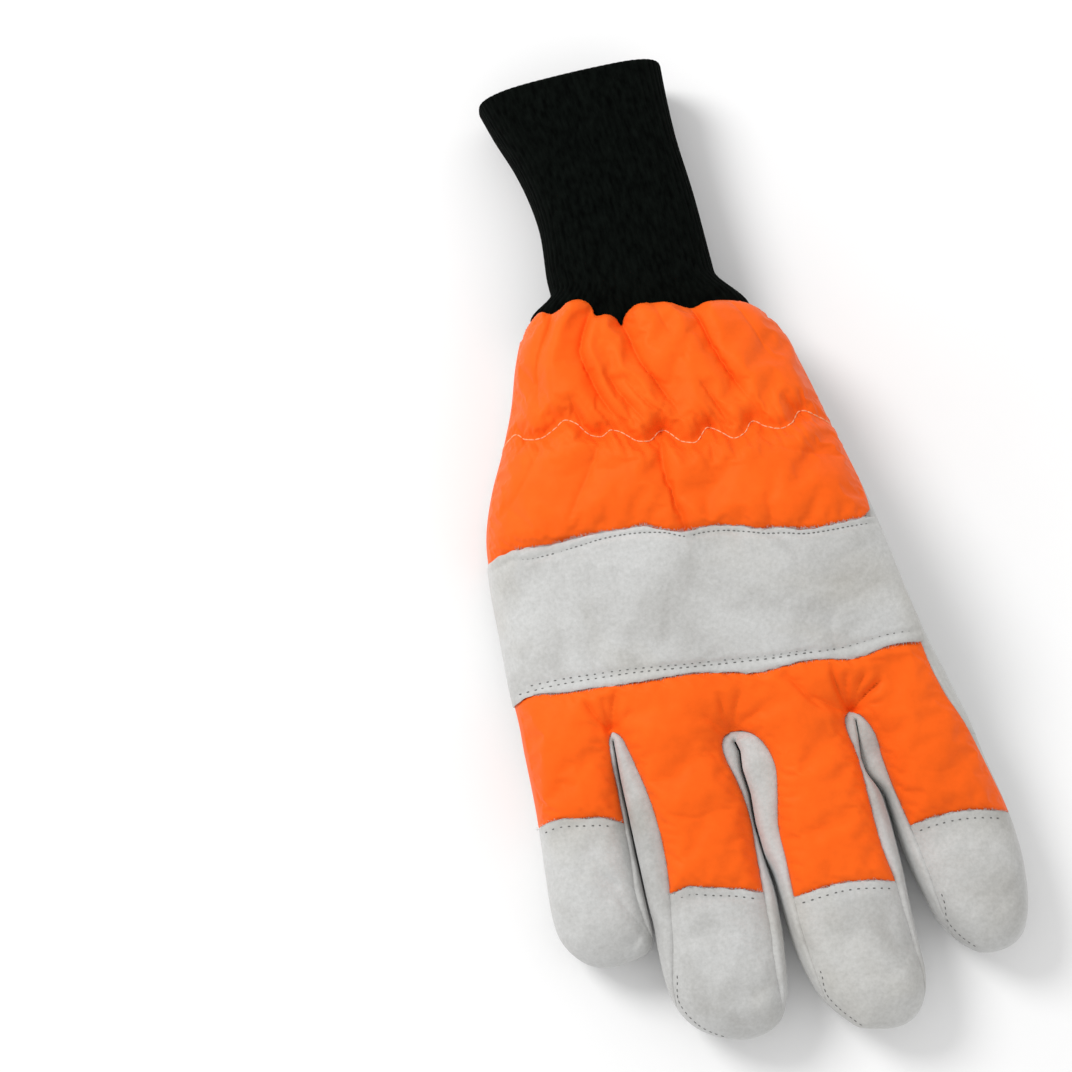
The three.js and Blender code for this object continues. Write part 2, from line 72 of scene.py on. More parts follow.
# Fingers: tip, where the finger leaves the hand, its middle's height there, half its thickness,
# how it climbs into the hand, and rows of (y, left edge, right edge).
FINGERS = [
    dict(
        name="little", tip=(-50.5, -108.2), root=-43.8, rise=12.0, half=11.5, climb=0.0,
        rows=[(-107.1, -56.2, -42.4), (-104, -60.3, -39.4), (-100.5, -62.8, -38.7),
              (-97, -64.2, -38.6), (-91.7, -64.7, -38.6), (-80, -63.8, -37.8),
              (-60, -61.9, -36.8), (-44, -61.2, -36.2)],
    ),
    dict(
        name="ring", tip=(-19.5, -136.1), root=-48.7, rise=15.0, half=12.5, climb=0.08,
        rows=[(-135.2, -24.5, -14), (-133, -29.4, -10.6), (-129.5, -33.9, -8.4),
              (-123, -37.7, -6.3), (-116.5, -38.8, -5.2), (-108, -38.8, -4),
              (-98.6, -38.3, -3.5), (-87, -37.7, -4.1), (-76, -37, -3.4),
              (-60, -36.1, -3.2), (-48.7, -35.6, -3.6)],
    ),
    dict(
        name="middle", tip=(19.5, -142.7), root=-54.3, rise=17.0, half=13.0, climb=0.16,
        rows=[(-142, 15, 23.6), (-140.6, 10.2, 25.9), (-137.6, 6.9, 28.4), (-130.1, 1.7, 30.8),
              (-122, -0.9, 31.1), (-111, -2.4, 31.5), (-98.7, -2.7, 32.2), (-87, -3, 32.1),
              (-76, -2.4, 31.4), (-62, -2.4, 30.6), (-54.3, -2.6, 30.2)],
    ),
    dict(
        name="index", tip=(52, -129.5), root=-59.5, rise=18.5, half=12.5, climb=0.25,
        rows=[(-128.8, 47.5, 56.2), (-126.9, 44.9, 59.3), (-122, 40.7, 62.3), (-117.5, 38.4, 63.7),
              (-110, 36.4, 64.9), (-101, 34.5, 65.3), (-90, 33.2, 64.2), (-77, 32.4, 61.7),
              (-64, 31.8, 59.5), (-59.5, 31.4, 58.4)],
    ),
]

# Seams between the tongues or caps and the forks, from the crotch to where each meets the
# finger's side near its tip.
FORK_SEAMS = [
    (
        [(-36.6, -46.2), (-37.7, -47.6), (-38.5, -52), (-38.8, -60), (-39.3, -68), (-39.9, -79),
         (-41.1, -94), (-40, -101), (-39.4, -104)],
        [(-36.4, -46.2), (-34.9, -47.8), (-33.7, -52), (-32.6, -58), (-31.3, -67), (-31.4, -87),
         (-32.6, -95), (-34.2, -103), (-35.9, -111), (-37.3, -117), (-37.6, -123)],
    ),
    (
        [(-5.2, -54.4), (-7.5, -55.5), (-8.5, -58), (-8.1, -62), (-6.7, -68), (-5.6, -77),
         (-6.4, -88), (-7.3, -98), (-8, -109), (-9.3, -121), (-9.9, -128), (-10.7, -133)],
        [(-4.8, -54.4), (-1.5, -55.2), (1.2, -57.5), (3, -61), (4, -66), (2.8, -74), (1, -82),
         (0.8, -92), (0.4, -103), (0.3, -110), (0.8, -118), (1.4, -125), (2.4, -131)],
    ),
    (
        [(27.4, -57), (25.9, -58.5), (25.6, -62), (26.4, -67), (26.8, -86), (27, -94),
         (28.4, -105), (28.8, -115), (29.2, -125), (29.6, -131), (28.6, -137)],
        [(27.8, -57), (29.8, -58.3), (31.3, -60.5), (32.7, -64), (33.5, -72), (34.4, -80),
         (35.6, -87), (37.2, -97), (38.4, -108), (39.3, -116), (40, -120)],
    ),
]
# Raw edges of the fingertip caps.
CAP_EDGES = [
    [(-66, -66.2), (-63, -66.5), (-58, -66), (-50, -67.5), (-44, -69), (-40.5, -70.7),
     (-38, -71.5)],
    [(-36, -92.6), (-32, -93), (-27, -92.5), (-22, -94), (-15, -96), (-8, -98.5), (-4, -99.5)],
    [(-4, -102), (1, -102), (17, -102), (22, -103), (28, -104.5), (33, -105.5)],
    [(33, -91.5), (36.5, -91), (42, -90.5), (48, -90.5), (55, -91.5), (63, -93.5), (67, -94.5)],
]
# The strap's edges, the orange edge on the index side and the gathered edge at the cuff.
STRAP_TOP = [
    (-66, 9), (-58.5, 9), (-50, 9), (-40, 7.2), (-30, 6.8), (-20, 5.6), (-15, 5), (-10, 2.5),
    (-4, 0.3), (0, 0.4), (5, -0.6), (10, -2), (14, -4), (21, -5.5), (25, -7), (30, -7.8),
    (38, -8), (46, -8), (54, -8.2),
]
STRAP_BOTTOM = [
    (-66, -32), (-61.5, -32), (-55, -31), (-48, -32.5), (-37, -33.8), (-25, -35.5), (-10, -37),
    (0, -39.5), (4, -40.7), (13, -41), (19, -41.2), (24, -42), (30, -43.5), (35, -43.5),
    (40, -42.7), (51, -43.5), (58, -44),
]
INDEX_SEAM = [
    (47.5, 8), (46.6, 0), (46, -8), (47.4, -20), (49, -31), (50.9, -43), (52.2, -52),
    (54.5, -60), (57, -66), (60, -76), (62.6, -86), (64.6, -94), (66, -100),
]
CUFF_EDGE = [
    (-40, 66), (-34, 68.5), (-31, 71), (-27, 72.9), (-24.3, 71.3), (-22.5, 71.6), (-19, 73.2),
    (-16, 73), (-13.3, 70.5), (-12.6, 67), (-10, 66.8), (-7.6, 65.2), (-6.5, 62.6),
    (-5.2, 64.8), (-1, 67.4), (3, 66.9), (8, 65.8), (12.3, 63.4), (13.8, 62.9), (18, 63.7),
    (24, 63.2), (30, 61.6), (34, 59.5), (40, 57),
]
ELASTIC = [
    (-47, 39.5), (-45, 40.2), (-42.5, 41), (-40, 38.5), (-36.5, 37.2), (-32, 38.2), (-28.5, 39.7),
    (-26, 38), (-23, 34), (-20, 32.6), (-17, 33.5), (-13, 30.5), (-11, 28.5), (-8, 27.6),
    (-3.5, 30), (1, 25), (4, 23.8), (9, 27.2), (12, 24.5), (15, 22), (18, 23), (21, 26),
    (24.5, 23.3), (28, 21.8), (31, 22.5), (35, 26.2), (39.5, 23.7), (43, 21.5),
]
# Folds: points of the valley, depth, width, how much wider its right side is, and whether the
# start and the end stay deep.
WRIST_FOLDS = [
    ([(-23.6, 73), (-26, 67), (-30, 60), (-33, 52), (-35, 42)], 2.0, 2.4, 0.2, 1, 0),
    ([(-13, 70), (-17, 63), (-19.5, 57), (-18.5, 50), (-17.5, 44), (-15, 37), (-11, 30)],
     3.4, 3.0, 0.6, 1, 0),
    ([(-14, 52), (-12.5, 44), (-9, 36), (-6, 30)], 1.6, 2.0, 0.3, 0, 0),
    ([(-6.5, 64), (-5.5, 57), (-4.5, 50), (-2, 44), (1, 36), (3, 29)], 3.0, 2.7, -0.2, 1, 0),
    ([(-11, 49), (-7.5, 41), (-2, 32)], 1.1, 1.8, 0, 0, 0),
    ([(13.2, 65), (14.5, 56), (16, 48), (18, 41), (20.5, 34), (24, 27)], 2.8, 2.6, 0.2, 1, 0),
    ([(9, 42), (12.5, 33), (14.5, 26)], 1.5, 2.0, 0, 0, 1),
    ([(24, 64), (26.5, 56), (29, 48), (33, 38)], 1.1, 3.0, 0, 1, 0),
    ([(3, 68), (4, 60), (6, 52)], 1.0, 2.4, 0, 1, 0),
    ([(-40, 52), (-41, 46), (-40.5, 38)], 1.2, 2.2, 0, 0, 1),
    ([(31, 33), (33, 27), (36, 21)], 1.0, 1.9, 0, 0, 0),
    ([(-26, 47), (-25, 41), (-22, 34)], 1.2, 2.0, 0, 0, 1),
    ([(-3.6, 30), (-5.5, 24), (-6, 18), (-5, 10), (-4, 1)], 2.0, 2.4, 0.2, 1, 1),
    ([(9, 27), (8, 21), (7, 15)], 1.2, 2.0, 0, 1, 0),
    ([(21, 26), (23, 19), (29, 15), (38, 12), (45, 10)], 1.2, 3.2, 0, 1, 0),
    ([(-20, 33), (-24, 26), (-29, 19), (-35, 11)], 1.1, 3.0, 0, 1, 0),
    ([(19, 6), (19, 0), (18, -5)], 0.7, 2.0, 0, 0, 1),
    ([(-36, 37), (-40, 30), (-46, 23), (-53, 19)], 0.9, 3.0, 0, 1, 0),
    ([(35, 26), (38, 19), (43, 14)], 0.8, 2.4, 0, 1, 0),
]
BACK_FOLDS = [
    ([(13, -44), (17, -51), (22, -57.5)], 1.0, 1.8, 0, 1, 0),
    ([(-56, -46), (-50, -52), (-42, -56)], 0.5, 2.6, 0, 0, 0),
    ([(-29, -72), (-20, -75), (-10, -74)], 0.4, 2.6, 0, 0, 0),
    ([(6, -84), (14, -87), (24, -85)], 0.4, 2.6, 0, 0, 0),
    ([(40, -76), (48, -79), (56, -78)], 0.4, 2.6, 0, 0, 0),
]

# Creases that run out from the finger crotches: crotch, angle from +Y towards +X, length, depth.
CROTCH_CREASES = [
    (0, 11, 12, 0.9), (0, -36, 13, 0.8), (0, -9, 11, 0.6), (0, 54, 9, 0.5), (0, -66, 8, 0.4),
    (1, -55, 11, 0.5), (1, -18, 12, 0.5), (1, 14, 12, 0.5), (1, 58, 11, 0.5),
    (2, -19, 15, 1.1), (2, -2, 12, 0.7), (2, 26, 12, 0.8), (2, 51, 13, 1.4), (2, 80, 10, 0.7),
    (2, -62, 14, 0.6),
]


# ---------------------------------------------------------------- curves and distances


def hermite(at, xs, ys):
    """Smooth curve through points, straight past both ends."""
    xs, ys, at = (np.asarray(v, float) for v in (xs, ys, at))
    slope = np.gradient(ys, xs)
    i = np.clip(np.searchsorted(xs, at) - 1, 0, len(xs) - 2)
    span = xs[i + 1] - xs[i]
    t = (at - xs[i]) / span
    inner = (
        (2 * t**3 - 3 * t**2 + 1) * ys[i]
        + (t**3 - 2 * t**2 + t) * span * slope[i]
        + (3 * t**2 - 2 * t**3) * ys[i + 1]
        + (t**3 - t**2) * span * slope[i + 1]
    )
    low = ys[0] + slope[0] * (at - xs[0])
    high = ys[-1] + slope[-1] * (at - xs[-1])
    return np.where(at < xs[0], low, np.where(at > xs[-1], high, inner))


def lengths(path):
    return np.concatenate([[0], np.cumsum(np.linalg.norm(np.diff(path, axis=0), axis=1))])


def trace(points, step=0.8):
    """Evenly spaced points along a smooth line through the given ones."""
    pts = np.asarray(points, float)
    along = lengths(pts)
    at = np.linspace(0, along[-1], max(2, int(along[-1] / step) + 1))
    return np.stack([hermite(at, along, pts[:, k]) for k in range(pts.shape[1])], 1)


def nearest(points, line):
    """Distance to a line, share of its length at the nearest place, and which side (right is +)."""
    line = np.asarray(line, float)
    seg = np.diff(line, axis=0)
    size = np.linalg.norm(seg, axis=1)
    start = np.concatenate([[0], np.cumsum(size)])
    best = np.full(len(points), 1e9)
    share = np.zeros(len(points))
    side = np.ones(len(points))
    for k in range(len(seg)):
        rel = points - line[k]
        t = np.clip(rel @ seg[k] / (size[k] ** 2), 0, 1)
        off = rel - t[:, None] * seg[k]
        dist = np.hypot(off[:, 0], off[:, 1])
        closer = dist < best
        best = np.where(closer, dist, best)
        share = np.where(closer, (start[k] + t * size[k]) / start[-1], share)
        turn = rel[:, 0] * seg[k][1] - rel[:, 1] * seg[k][0]
        side = np.where(closer, np.where(turn >= 0, 1.0, -1.0), side)
    return best, share, side


def within(points, outline):
    """Signed distance to a closed outline, positive inside."""
    outline = np.asarray(outline, float)
    ring = np.vstack([outline, outline[:1]])
    x, y = points[:, 0], points[:, 1]
    inside = np.zeros(len(points), bool)
    for (x0, y0), (x1, y1) in zip(ring[:-1], ring[1:]):
        if y0 != y1:
            cross = (y0 > y) != (y1 > y)
            inside ^= cross & (x < (x1 - x0) * (y - y0) / (y1 - y0) + x0)
    return np.where(inside, 1, -1) * nearest(points, ring)[0]


def step01(t):
    t = np.clip(t, 0, 1)
    return t * t * (3 - 2 * t)


def rounded(t):
    t = np.clip(t, 0, 1)
    return np.sqrt(1 - (1 - t) ** 2)


def bell(t):
    return np.exp(-(t**2))


def squared(v, squareness):
    """A cosine or sine bent so that the section it draws is boxier than an ellipse."""
    return np.sign(v) * np.abs(v) ** (2 / squareness)


def plan_of(x, y):
    return np.stack([np.ravel(x), np.ravel(y)], 1)


def on_line(line, x):
    """Height in plan of a smooth line, given by rising x, at x."""
    return hermite(x, *np.array(line, float).T)


def read(table, at):
    """Smooth values of a table's other columns at places along its first one."""
    columns = np.array(table, float).T
    return [hermite(at, columns[0], column) for column in columns[1:]]


def waves(points, length, seed, count=9):
    """Smooth unevenness of about the given wavelength, from -1 to 1."""
    r = np.random.RandomState(seed)
    total = 0
    for _ in range(count):
        angle, size = r.uniform(0, 2 * np.pi), length * r.uniform(0.7, 1.5)
        k = 2 * np.pi / size
        total = total + np.sin(k * (points[:, 0] * np.cos(angle) + points[:, 1] * np.sin(angle))
                               + r.uniform(0, 2 * np.pi))
    return total / count**0.5 / 1.4


def drawn_in(points, folds):
    """How far folds draw a sheet in, with a low ridge beside each."""
    total = np.zeros(len(points))
    for line, depth, width, lean, start, end in folds:
        dist, share, side = nearest(points, trace(line, 1.5))
        fade = 1.0 if start else step01(share / 0.3)
        fade = fade * (1.0 if end else step01((1 - share) / 0.35))
        w = width * (1 + lean * side)
        valley = 0.6 * bell(dist / w) + 0.62 * np.exp(-dist / (0.28 * w))
        total += depth * fade * valley
        total -= 0.22 * depth * fade * bell((dist - 2.1 * w) / w)
    return total


# ---------------------------------------------------------------- the glove's base surface


def hand_at(s):
    return read(HAND, s)


def up(a, power):
    return np.maximum(0, 1 - np.abs(a) ** power) ** (1 / power)


def share_along(x, y):
    return (WRIST_Y - y - SLANT * x) / LENGTH


def finger_at(i, y):
    """Middle, half width, height of the middle and half thickness of a finger at y."""
    f = FINGERS[i]
    tip_x, tip_y = f["tip"]
    rows = np.array([(tip_y, tip_x, tip_x)] + f["rows"])
    depth = np.sqrt(rows[:, 0] - tip_y)
    at = np.sqrt(np.maximum(0, y - tip_y))
    left, right = hermite(at, depth, rows[:, 1]), hermite(at, depth, rows[:, 2])
    length = f["root"] - tip_y
    along = (f["root"] - y) / length
    end = np.clip((along - 0.62) / 0.38, 0, 1)  # the thickness rounds off over the tip
    thick = f["half"] * (1 - end**2.6) ** (1 / 2.6)
    thick = thick * (1 - 0.4 * np.clip(-along / 0.28, 0, 1) ** 2)  # and thins inside the hand
    height = f["rise"] + (0.96 * f["half"] - f["rise"]) * step01(along / 0.6) - SUNK
    height = height + f["climb"] * length * np.clip(-along, 0, 1)
    return (left + right) / 2, np.maximum((right - left) / 2, 1e-3), height, thick


def towards_tip(i, start, rows):
    """Rows down a finger, closer together at its tip."""
    tip_y = FINGERS[i]["tip"][1]
    y = start + (tip_y - start) * np.sin(np.linspace(0, 1, rows) * np.pi / 2)
    y[-1] = tip_y + 0.002
    return y


def below_seam(i, y, thick):
    """How far below a finger's middle its fork ends, also as a share of half the thickness."""
    depth = FORK_DROP * step01((y - FINGERS[i]["tip"][1]) / 9)
    return depth, np.clip(depth / np.maximum(thick, 0.1), 0, 0.95)


def blend_max(a, b, k):
    k = np.maximum(k, 1e-3)
    return np.maximum(a, b) + np.maximum(k - np.abs(a - b), 0) ** 2 / (4 * k)


CROTCHES = [(-36.6, -46.5), (-4.6, -55), (27.6, -57.5)]
for k, angle, length, depth in CROTCH_CREASES:
    turn = np.radians(angle + np.array([0, 3, 8]))
    reach = np.array([1.2, 0.5 * length, length])
    spots = np.array(CROTCHES[k]) + np.stack([np.sin(turn), np.cos(turn)], 1) * reach[:, None]
    BACK_FOLDS.append((spots.tolist(), 1.35 * depth, 1.3, 0.15, 1, 0))


def top(x, y):
    """Height of the back of the glove, without padding and folds."""
    s = share_along(x, y)
    left, right, seam_left, seam_right, crown, _ = hand_at(s)
    a = np.clip((x - (left + right) / 2) / ((right - left) / 2), -1, 1)
    z = seam_left + (seam_right - seam_left) * (a + 1) / 2 + crown * up(a, HAND_SQUARE) - SUNK
    z = z - 900 * np.maximum(0, s - 1) ** 2  # past the crotches only the fingers are left
    edge = 1 - np.abs(a) ** 8
    for i in range(4):
        middle, wide, height, thick = finger_at(i, y)
        b = (x - middle) / wide
        f = height + thick * up(b, FINGER_SQUARE) - 2.5 * np.maximum(0, np.abs(b) - 1) * wide
        root, tip_y = FINGERS[i]["root"], FINGERS[i]["tip"][1]
        f = f - 160 * np.maximum(0, (y - root) / (root - tip_y) - 0.28) ** 2  # it ends in the hand
        z = blend_max(z, f, 5 * edge)
    for cx, cy in CROTCHES:
        z = z - 2.7 * edge * bell((x - cx) / 4.5) * bell((y - cy) / 6.5)
    return z


def bottom(x, y):
    """Height of the palm side of the hand."""
    s = share_along(x, y)
    left, right, seam_left, seam_right, _, belly = hand_at(s)
    a = np.clip((x - (left + right) / 2) / ((right - left) / 2), -1, 1)
    chord = seam_left + (seam_right - seam_left) * (a + 1) / 2
    return np.maximum(chord - belly * up(a, HAND_SQUARE) - SUNK, 0)


# ---------------------------------------------------------------- meshes


def grid_faces(rows, columns, closed=False):
    wide = columns if closed else columns - 1
    r, c = np.meshgrid(np.arange(rows - 1), np.arange(wide), indexing="ij")
    a, b = r * columns + c, r * columns + (c + 1) % columns
    quads = np.stack([a, b, b + columns, a + columns], -1).reshape(-1, 4)
    return np.vstack([quads[:, [0, 1, 2]], quads[:, [0, 2, 3]]])


def clip(points, faces, value):
    """The part of a mesh where value is positive, cut along its zero line."""
    value = np.where(np.abs(value) < 0.1, 1e-6, value)
    inside = value > 0
    count = inside[faces].sum(1)
    parts = [faces[count == 3]]
    made = [points]
    total = len(points)
    for wanted in (1, 2):
        some = faces[count == wanted]
        if not len(some):
            continue
        odd = np.argmax(inside[some] == (wanted == 1), axis=1)
        some = np.stack([some[np.arange(len(some)), (odd + k) % 3] for k in range(3)], 1)
        keys = []
        for k in (1, 2):
            lo, hi = np.minimum(some[:, 0], some[:, k]), np.maximum(some[:, 0], some[:, k])
            keys.append(lo * len(points) + hi)
        both, place = np.unique(np.concatenate(keys), return_inverse=True)
        lo, hi = both // len(points), both % len(points)
        t = (value[lo] / (value[lo] - value[hi]))[:, None]
        made.append(points[lo] + t * (points[hi] - points[lo]))
        ob, oc = total + place[: len(some)], total + place[len(some):]
        total += len(both)
        if wanted == 1:
            parts.append(np.stack([some[:, 0], ob, oc], 1))
        else:
            parts.append(np.stack([ob, some[:, 1], some[:, 2]], 1))
            parts.append(np.stack([ob, some[:, 2], oc], 1))
    points, faces = np.vstack(made), np.vstack(parts)
    # the two kinds of cut share places on the zero line, so those are joined
    kept, where = np.unique(faces, return_inverse=True)
    points, faces = points[kept], where.reshape(-1, 3)
    _, first, same = np.unique(np.round(points, 5), axis=0, return_index=True, return_inverse=True)
    points, faces = points[first], same.reshape(-1)[faces]
    good = (faces != np.roll(faces, 1, axis=1)).all(1)
    return points, faces[good]


def normals_of(points, faces):
    n = np.zeros_like(points)
    p = points[faces]
    flat = np.cross(p[:, 1] - p[:, 0], p[:, 2] - p[:, 0])
    for k in range(3):
        np.add.at(n, faces[:, k], flat)
    wide = n.copy()
    shared = n[faces].sum(1)  # neighbours steady the normals of slivers
    for k in range(3):
        np.add.at(wide, faces[:, k], 0.25 * shared)
    size = np.linalg.norm(wide, axis=1)
    return wide / np.maximum(size, 1e-12)[:, None]


def shell(points, faces, thickness, crisp=False, inner=None):
    """A sheet given thickness inwards, with walls round its border."""
    if inner is None:
        inner = points - normals_of(points, faces) * thickness
    edges = np.vstack([faces[:, [0, 1]], faces[:, [1, 2]], faces[:, [2, 0]]])
    key = np.sort(edges, axis=1)
    _, first, times = np.unique(key, axis=0, return_index=True, return_counts=True)
    border = edges[first[times == 1]]
    n = len(points)
    made, parts = [points, inner], [faces, faces[:, ::-1] + n]
    a, b, c, d = border[:, 0], border[:, 1], border[:, 1] + n, border[:, 0] + n
    if crisp:
        used, where = np.unique(border, return_inverse=True)
        where = where.reshape(-1, 2)
        made += [points[used], inner[used]]
        a, b = 2 * n + where[:, 0], 2 * n + where[:, 1]
        c, d = b + len(used), a + len(used)
    parts += [np.stack([b, a, d], 1), np.stack([b, d, c], 1)]
    return np.vstack(made), np.vstack(parts)


def placed(name, data):
    obj = bpy.data.objects.new(name, data)
    bpy.context.scene.collection.objects.link(obj)
    return obj


def piece(name, body, look, *nodes):
    """A visible piece from points and faces, with its material."""
    (points, faces), (surface, slot) = body, look
    mesh = bpy.data.meshes.new(name)
    mesh.from_pydata((points * 0.001).tolist(), [], faces.tolist())
    mesh.validate()
    mesh.shade_smooth()
    mesh.materials.append(surface)
    obj = placed(name, mesh)
    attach(obj, "root")
    if nodes:
        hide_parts(*nodes)
    return obj


def stacked(*meshes):
    points, faces, total = [], [], 0
    for p, f in meshes:
        points.append(p)
        faces.append(np.asarray(f) + total)
        total += len(p)
    return np.vstack(points), np.vstack(faces)


def stitches(line, surface, pitch, length, radius, lift):
    """A row of stitches on a surface, each a small arched thread that stands lift above it."""
    path = trace(line, 0.2)
    along = lengths(path)
    rings, sides = 7, 7
    bodies = []
    r = np.random.RandomState(len(path))
    at = pitch / 2
    while at < along[-1] - pitch / 2:
        size = length * r.uniform(0.85, 1.1)
        mid = at + r.uniform(-0.08, 0.08) * pitch
        spots = np.linspace(mid - size / 2, mid + size / 2, rings)
        xy = np.stack([np.interp(spots, along, path[:, k]) for k in (0, 1)], 1)
        z = surface(xy[:, 0], xy[:, 1])
        t = np.linspace(-1, 1, rings)
        spine = np.column_stack([xy, z + lift - 0.55 * radius * t**4])
        ahead = spine[-1] - spine[0]
        ahead /= np.linalg.norm(ahead)
        flat = np.cross(ahead, [0, 0, 1.0])
        flat /= np.linalg.norm(flat)
        high = np.cross(flat, ahead)
        thick = radius * np.sqrt(np.maximum(0.04, 1 - np.abs(t) ** 3))
        angle = np.arange(sides) * 2 * np.pi / sides
        ring = np.cos(angle)[:, None] * flat + np.sin(angle)[:, None] * high
        pts = (spine[:, None, :] + thick[:, None, None] * ring[None]).reshape(-1, 3)
        faces = grid_faces(rings, sides, closed=True)
        caps = [[0, k + 1, k] for k in range(1, sides - 1)]
        last = (rings - 1) * sides
        caps += [[last, last + k, last + k + 1] for k in range(1, sides - 1)]
        bodies.append((pts, np.vstack([faces, caps])[:, ::-1]))
        at += pitch
    return stacked(*bodies)


# ---------------------------------------------------------------- materials


def material(name, build):
    mat = bpy.data.materials.new(name)
    mat.use_nodes = True
    tree = mat.node_tree
    shader = tree.nodes["Principled BSDF"]
    build(tree, shader)
    return mat


def add(tree, kind, **inputs):
    node = tree.nodes.new(kind)
    for key, value in inputs.items():
        key = key.replace("_", " ")
        if isinstance(value, bpy.types.NodeSocket):
            tree.links.new(value, node.inputs[key])
        else:
            node.inputs[key].default_value = value
    return node


def noise(tree, scale, detail=3.0, rough=0.55, stretch=None, distortion=0.0):
    place = tree.nodes.new("ShaderNodeTexCoord").outputs["Object"]
    if stretch:
        place = add(tree, "ShaderNodeMapping", Vector=place, Scale=stretch).outputs["Vector"]
    node = add(tree, "ShaderNodeTexNoise", Vector=place, Scale=scale, Detail=detail,
               Roughness=rough, Distortion=distortion)
    return node.outputs["Fac"]


def ramp(tree, value, stops):
    node = tree.nodes.new("ShaderNodeValToRGB")
    tree.links.new(value, node.inputs["Fac"])
    marks = node.color_ramp.elements
    while len(marks) < len(stops):
        marks.new(0.5)
    for mark, (place, color) in zip(marks, stops):
        mark.position = place
        mark.color = (*color, 1)
    return node.outputs["Color"]


def multiplied(tree, share, a, b):
    node = tree.nodes.new("ShaderNodeMix")
    node.data_type, node.blend_type = "RGBA", "MULTIPLY"
    # a Mix node has one set of sockets for each kind of data
    sockets = {(s.name, s.type): s for s in node.inputs}
    sockets["Factor", "VALUE"].default_value = share
    tree.links.new(a, sockets["A", "RGBA"])
    tree.links.new(b, sockets["B", "RGBA"])
    return next(s for s in node.outputs if s.type == "RGBA")


def steady(shader, **values):
    """Constant values, set on the shader's own sockets."""
    for key, value in values.items():
        shader.inputs[key.replace("_", " ")].default_value = value


def bump(tree, shader, layers):
    normal = None
    for height, strength, distance in layers:
        node = add(tree, "ShaderNodeBump", Height=height, Strength=strength, Distance=distance)
        if normal is not None:
            tree.links.new(normal, node.inputs["Normal"])
        normal = node.outputs["Normal"]
    tree.links.new(normal, shader.inputs["Normal"])


def weave(tree, scale):
    """Two crossed sets of fine threads."""
    place = tree.nodes.new("ShaderNodeTexCoord").outputs["Object"]
    heights = []
    for direction in ("X", "Y"):
        node = add(tree, "ShaderNodeTexWave", Vector=place, Scale=scale, Distortion=0.6)
        node.bands_direction = direction
        node.inputs["Detail Scale"].default_value = 2.0
        heights.append(node.outputs["Fac"])
    node = tree.nodes.new("ShaderNodeMath")
    node.operation = "MULTIPLY"
    tree.links.new(heights[0], node.inputs[0])
    tree.links.new(heights[1], node.inputs[1])
    return node.outputs["Value"]


def cloth_build(tree, shader):
    broad = noise(tree, 35, 2)
    fine = noise(tree, 420, 4)
    color = ramp(tree, broad, [(0.3, (0.87, 0.112, 0.009)), (0.7, (0.96, 0.132, 0.0115))])
    speck = ramp(tree, fine, [(0.3, (0.88, 0.88, 0.88)), (0.7, (1, 1, 1))])
    tree.links.new(multiplied(tree, 0.6, color, speck), shader.inputs["Base Color"])
    steady(shader, Roughness=0.5, Sheen_Weight=0.06, Sheen_Roughness=0.4,
           Sheen_Tint=(1, 0.4, 0.12, 1), Specular_IOR_Level=0.16, Specular_Tint=(1, 0.5, 0.25, 1))
    bump(tree, shader, [(weave(tree, 900), 0.1, 0.0002), (noise(tree, 130, 3), 0.12, 0.0012)])


def leather_build(tree, shader):
    blotch = noise(tree, 38, 4, 0.6, distortion=0.5)
    warm = noise(tree, 17, 3, 0.6, distortion=0.8)
    nap = noise(tree, 900, 5, 0.65)
    base = ramp(tree, blotch, [(0.28, (0.405, 0.40, 0.385)), (0.5, (0.515, 0.515, 0.505)),
                               (0.72, (0.575, 0.578, 0.572))])
    tint = ramp(tree, warm, [(0.48, (1, 1, 1)), (0.7, (0.93, 0.9, 0.84))])
    color = multiplied(tree, 0.7, base, tint)
    speck = ramp(tree, nap, [(0.3, (0.82, 0.82, 0.81)), (0.7, (1.04, 1.04, 1.04))])
    tree.links.new(multiplied(tree, 0.8, color, speck), shader.inputs["Base Color"])
    steady(shader, Roughness=0.93, Sheen_Weight=0.25, Sheen_Roughness=0.6, Specular_IOR_Level=0.2)
    bump(tree, shader, [(noise(tree, 240, 4, 0.6), 0.25, 0.0006), (nap, 0.35, 0.0003)])


def knit_build(tree, shader):
    fine = noise(tree, 700, 3, stretch=(1, 0.45, 1))
    color = ramp(tree, fine, [(0.3, (0.0006, 0.0009, 0.0007)), (0.75, (0.0035, 0.005, 0.004))])
    tree.links.new(color, shader.inputs["Base Color"])
    steady(shader, Roughness=0.95, Sheen_Weight=0.006, Sheen_Roughness=0.5, Specular_IOR_Level=0.03)
    bump(tree, shader, [(fine, 0.5, 0.0004)])


def thread_build(color):
    def build(tree, shader):
        twist = noise(tree, 1800, 2)
        low = tuple(0.7 * c for c in color)
        tree.links.new(ramp(tree, twist, [(0.35, low), (0.65, color)]), shader.inputs["Base Color"])
        steady(shader, Roughness=0.7)
        bump(tree, shader, [(twist, 0.4, 0.0001)])

    return build


def floor_build(tree, shader):
    grain = noise(tree, 6, 3)
    color = ramp(tree, grain, [(0.3, (0.86, 0.86, 0.86)), (0.7, (0.9, 0.9, 0.9))])
    tree.links.new(color, shader.inputs["Base Color"])
    steady(shader, Roughness=0.9, Specular_IOR_Level=0.1)


# Each piece's material and slot.
CLOTH = material("orange_cloth", cloth_build), "cloth"
LEATHER = material("split_leather", leather_build), "leather"
KNIT = material("rib_knit", knit_build), "knit"
THREAD = material("grey_thread", thread_build((0.14, 0.14, 0.135))), "leather"
PALE = material("pale_thread", thread_build((0.96, 0.47, 0.24))), "cloth"


# ---------------------------------------------------------------- padded panels


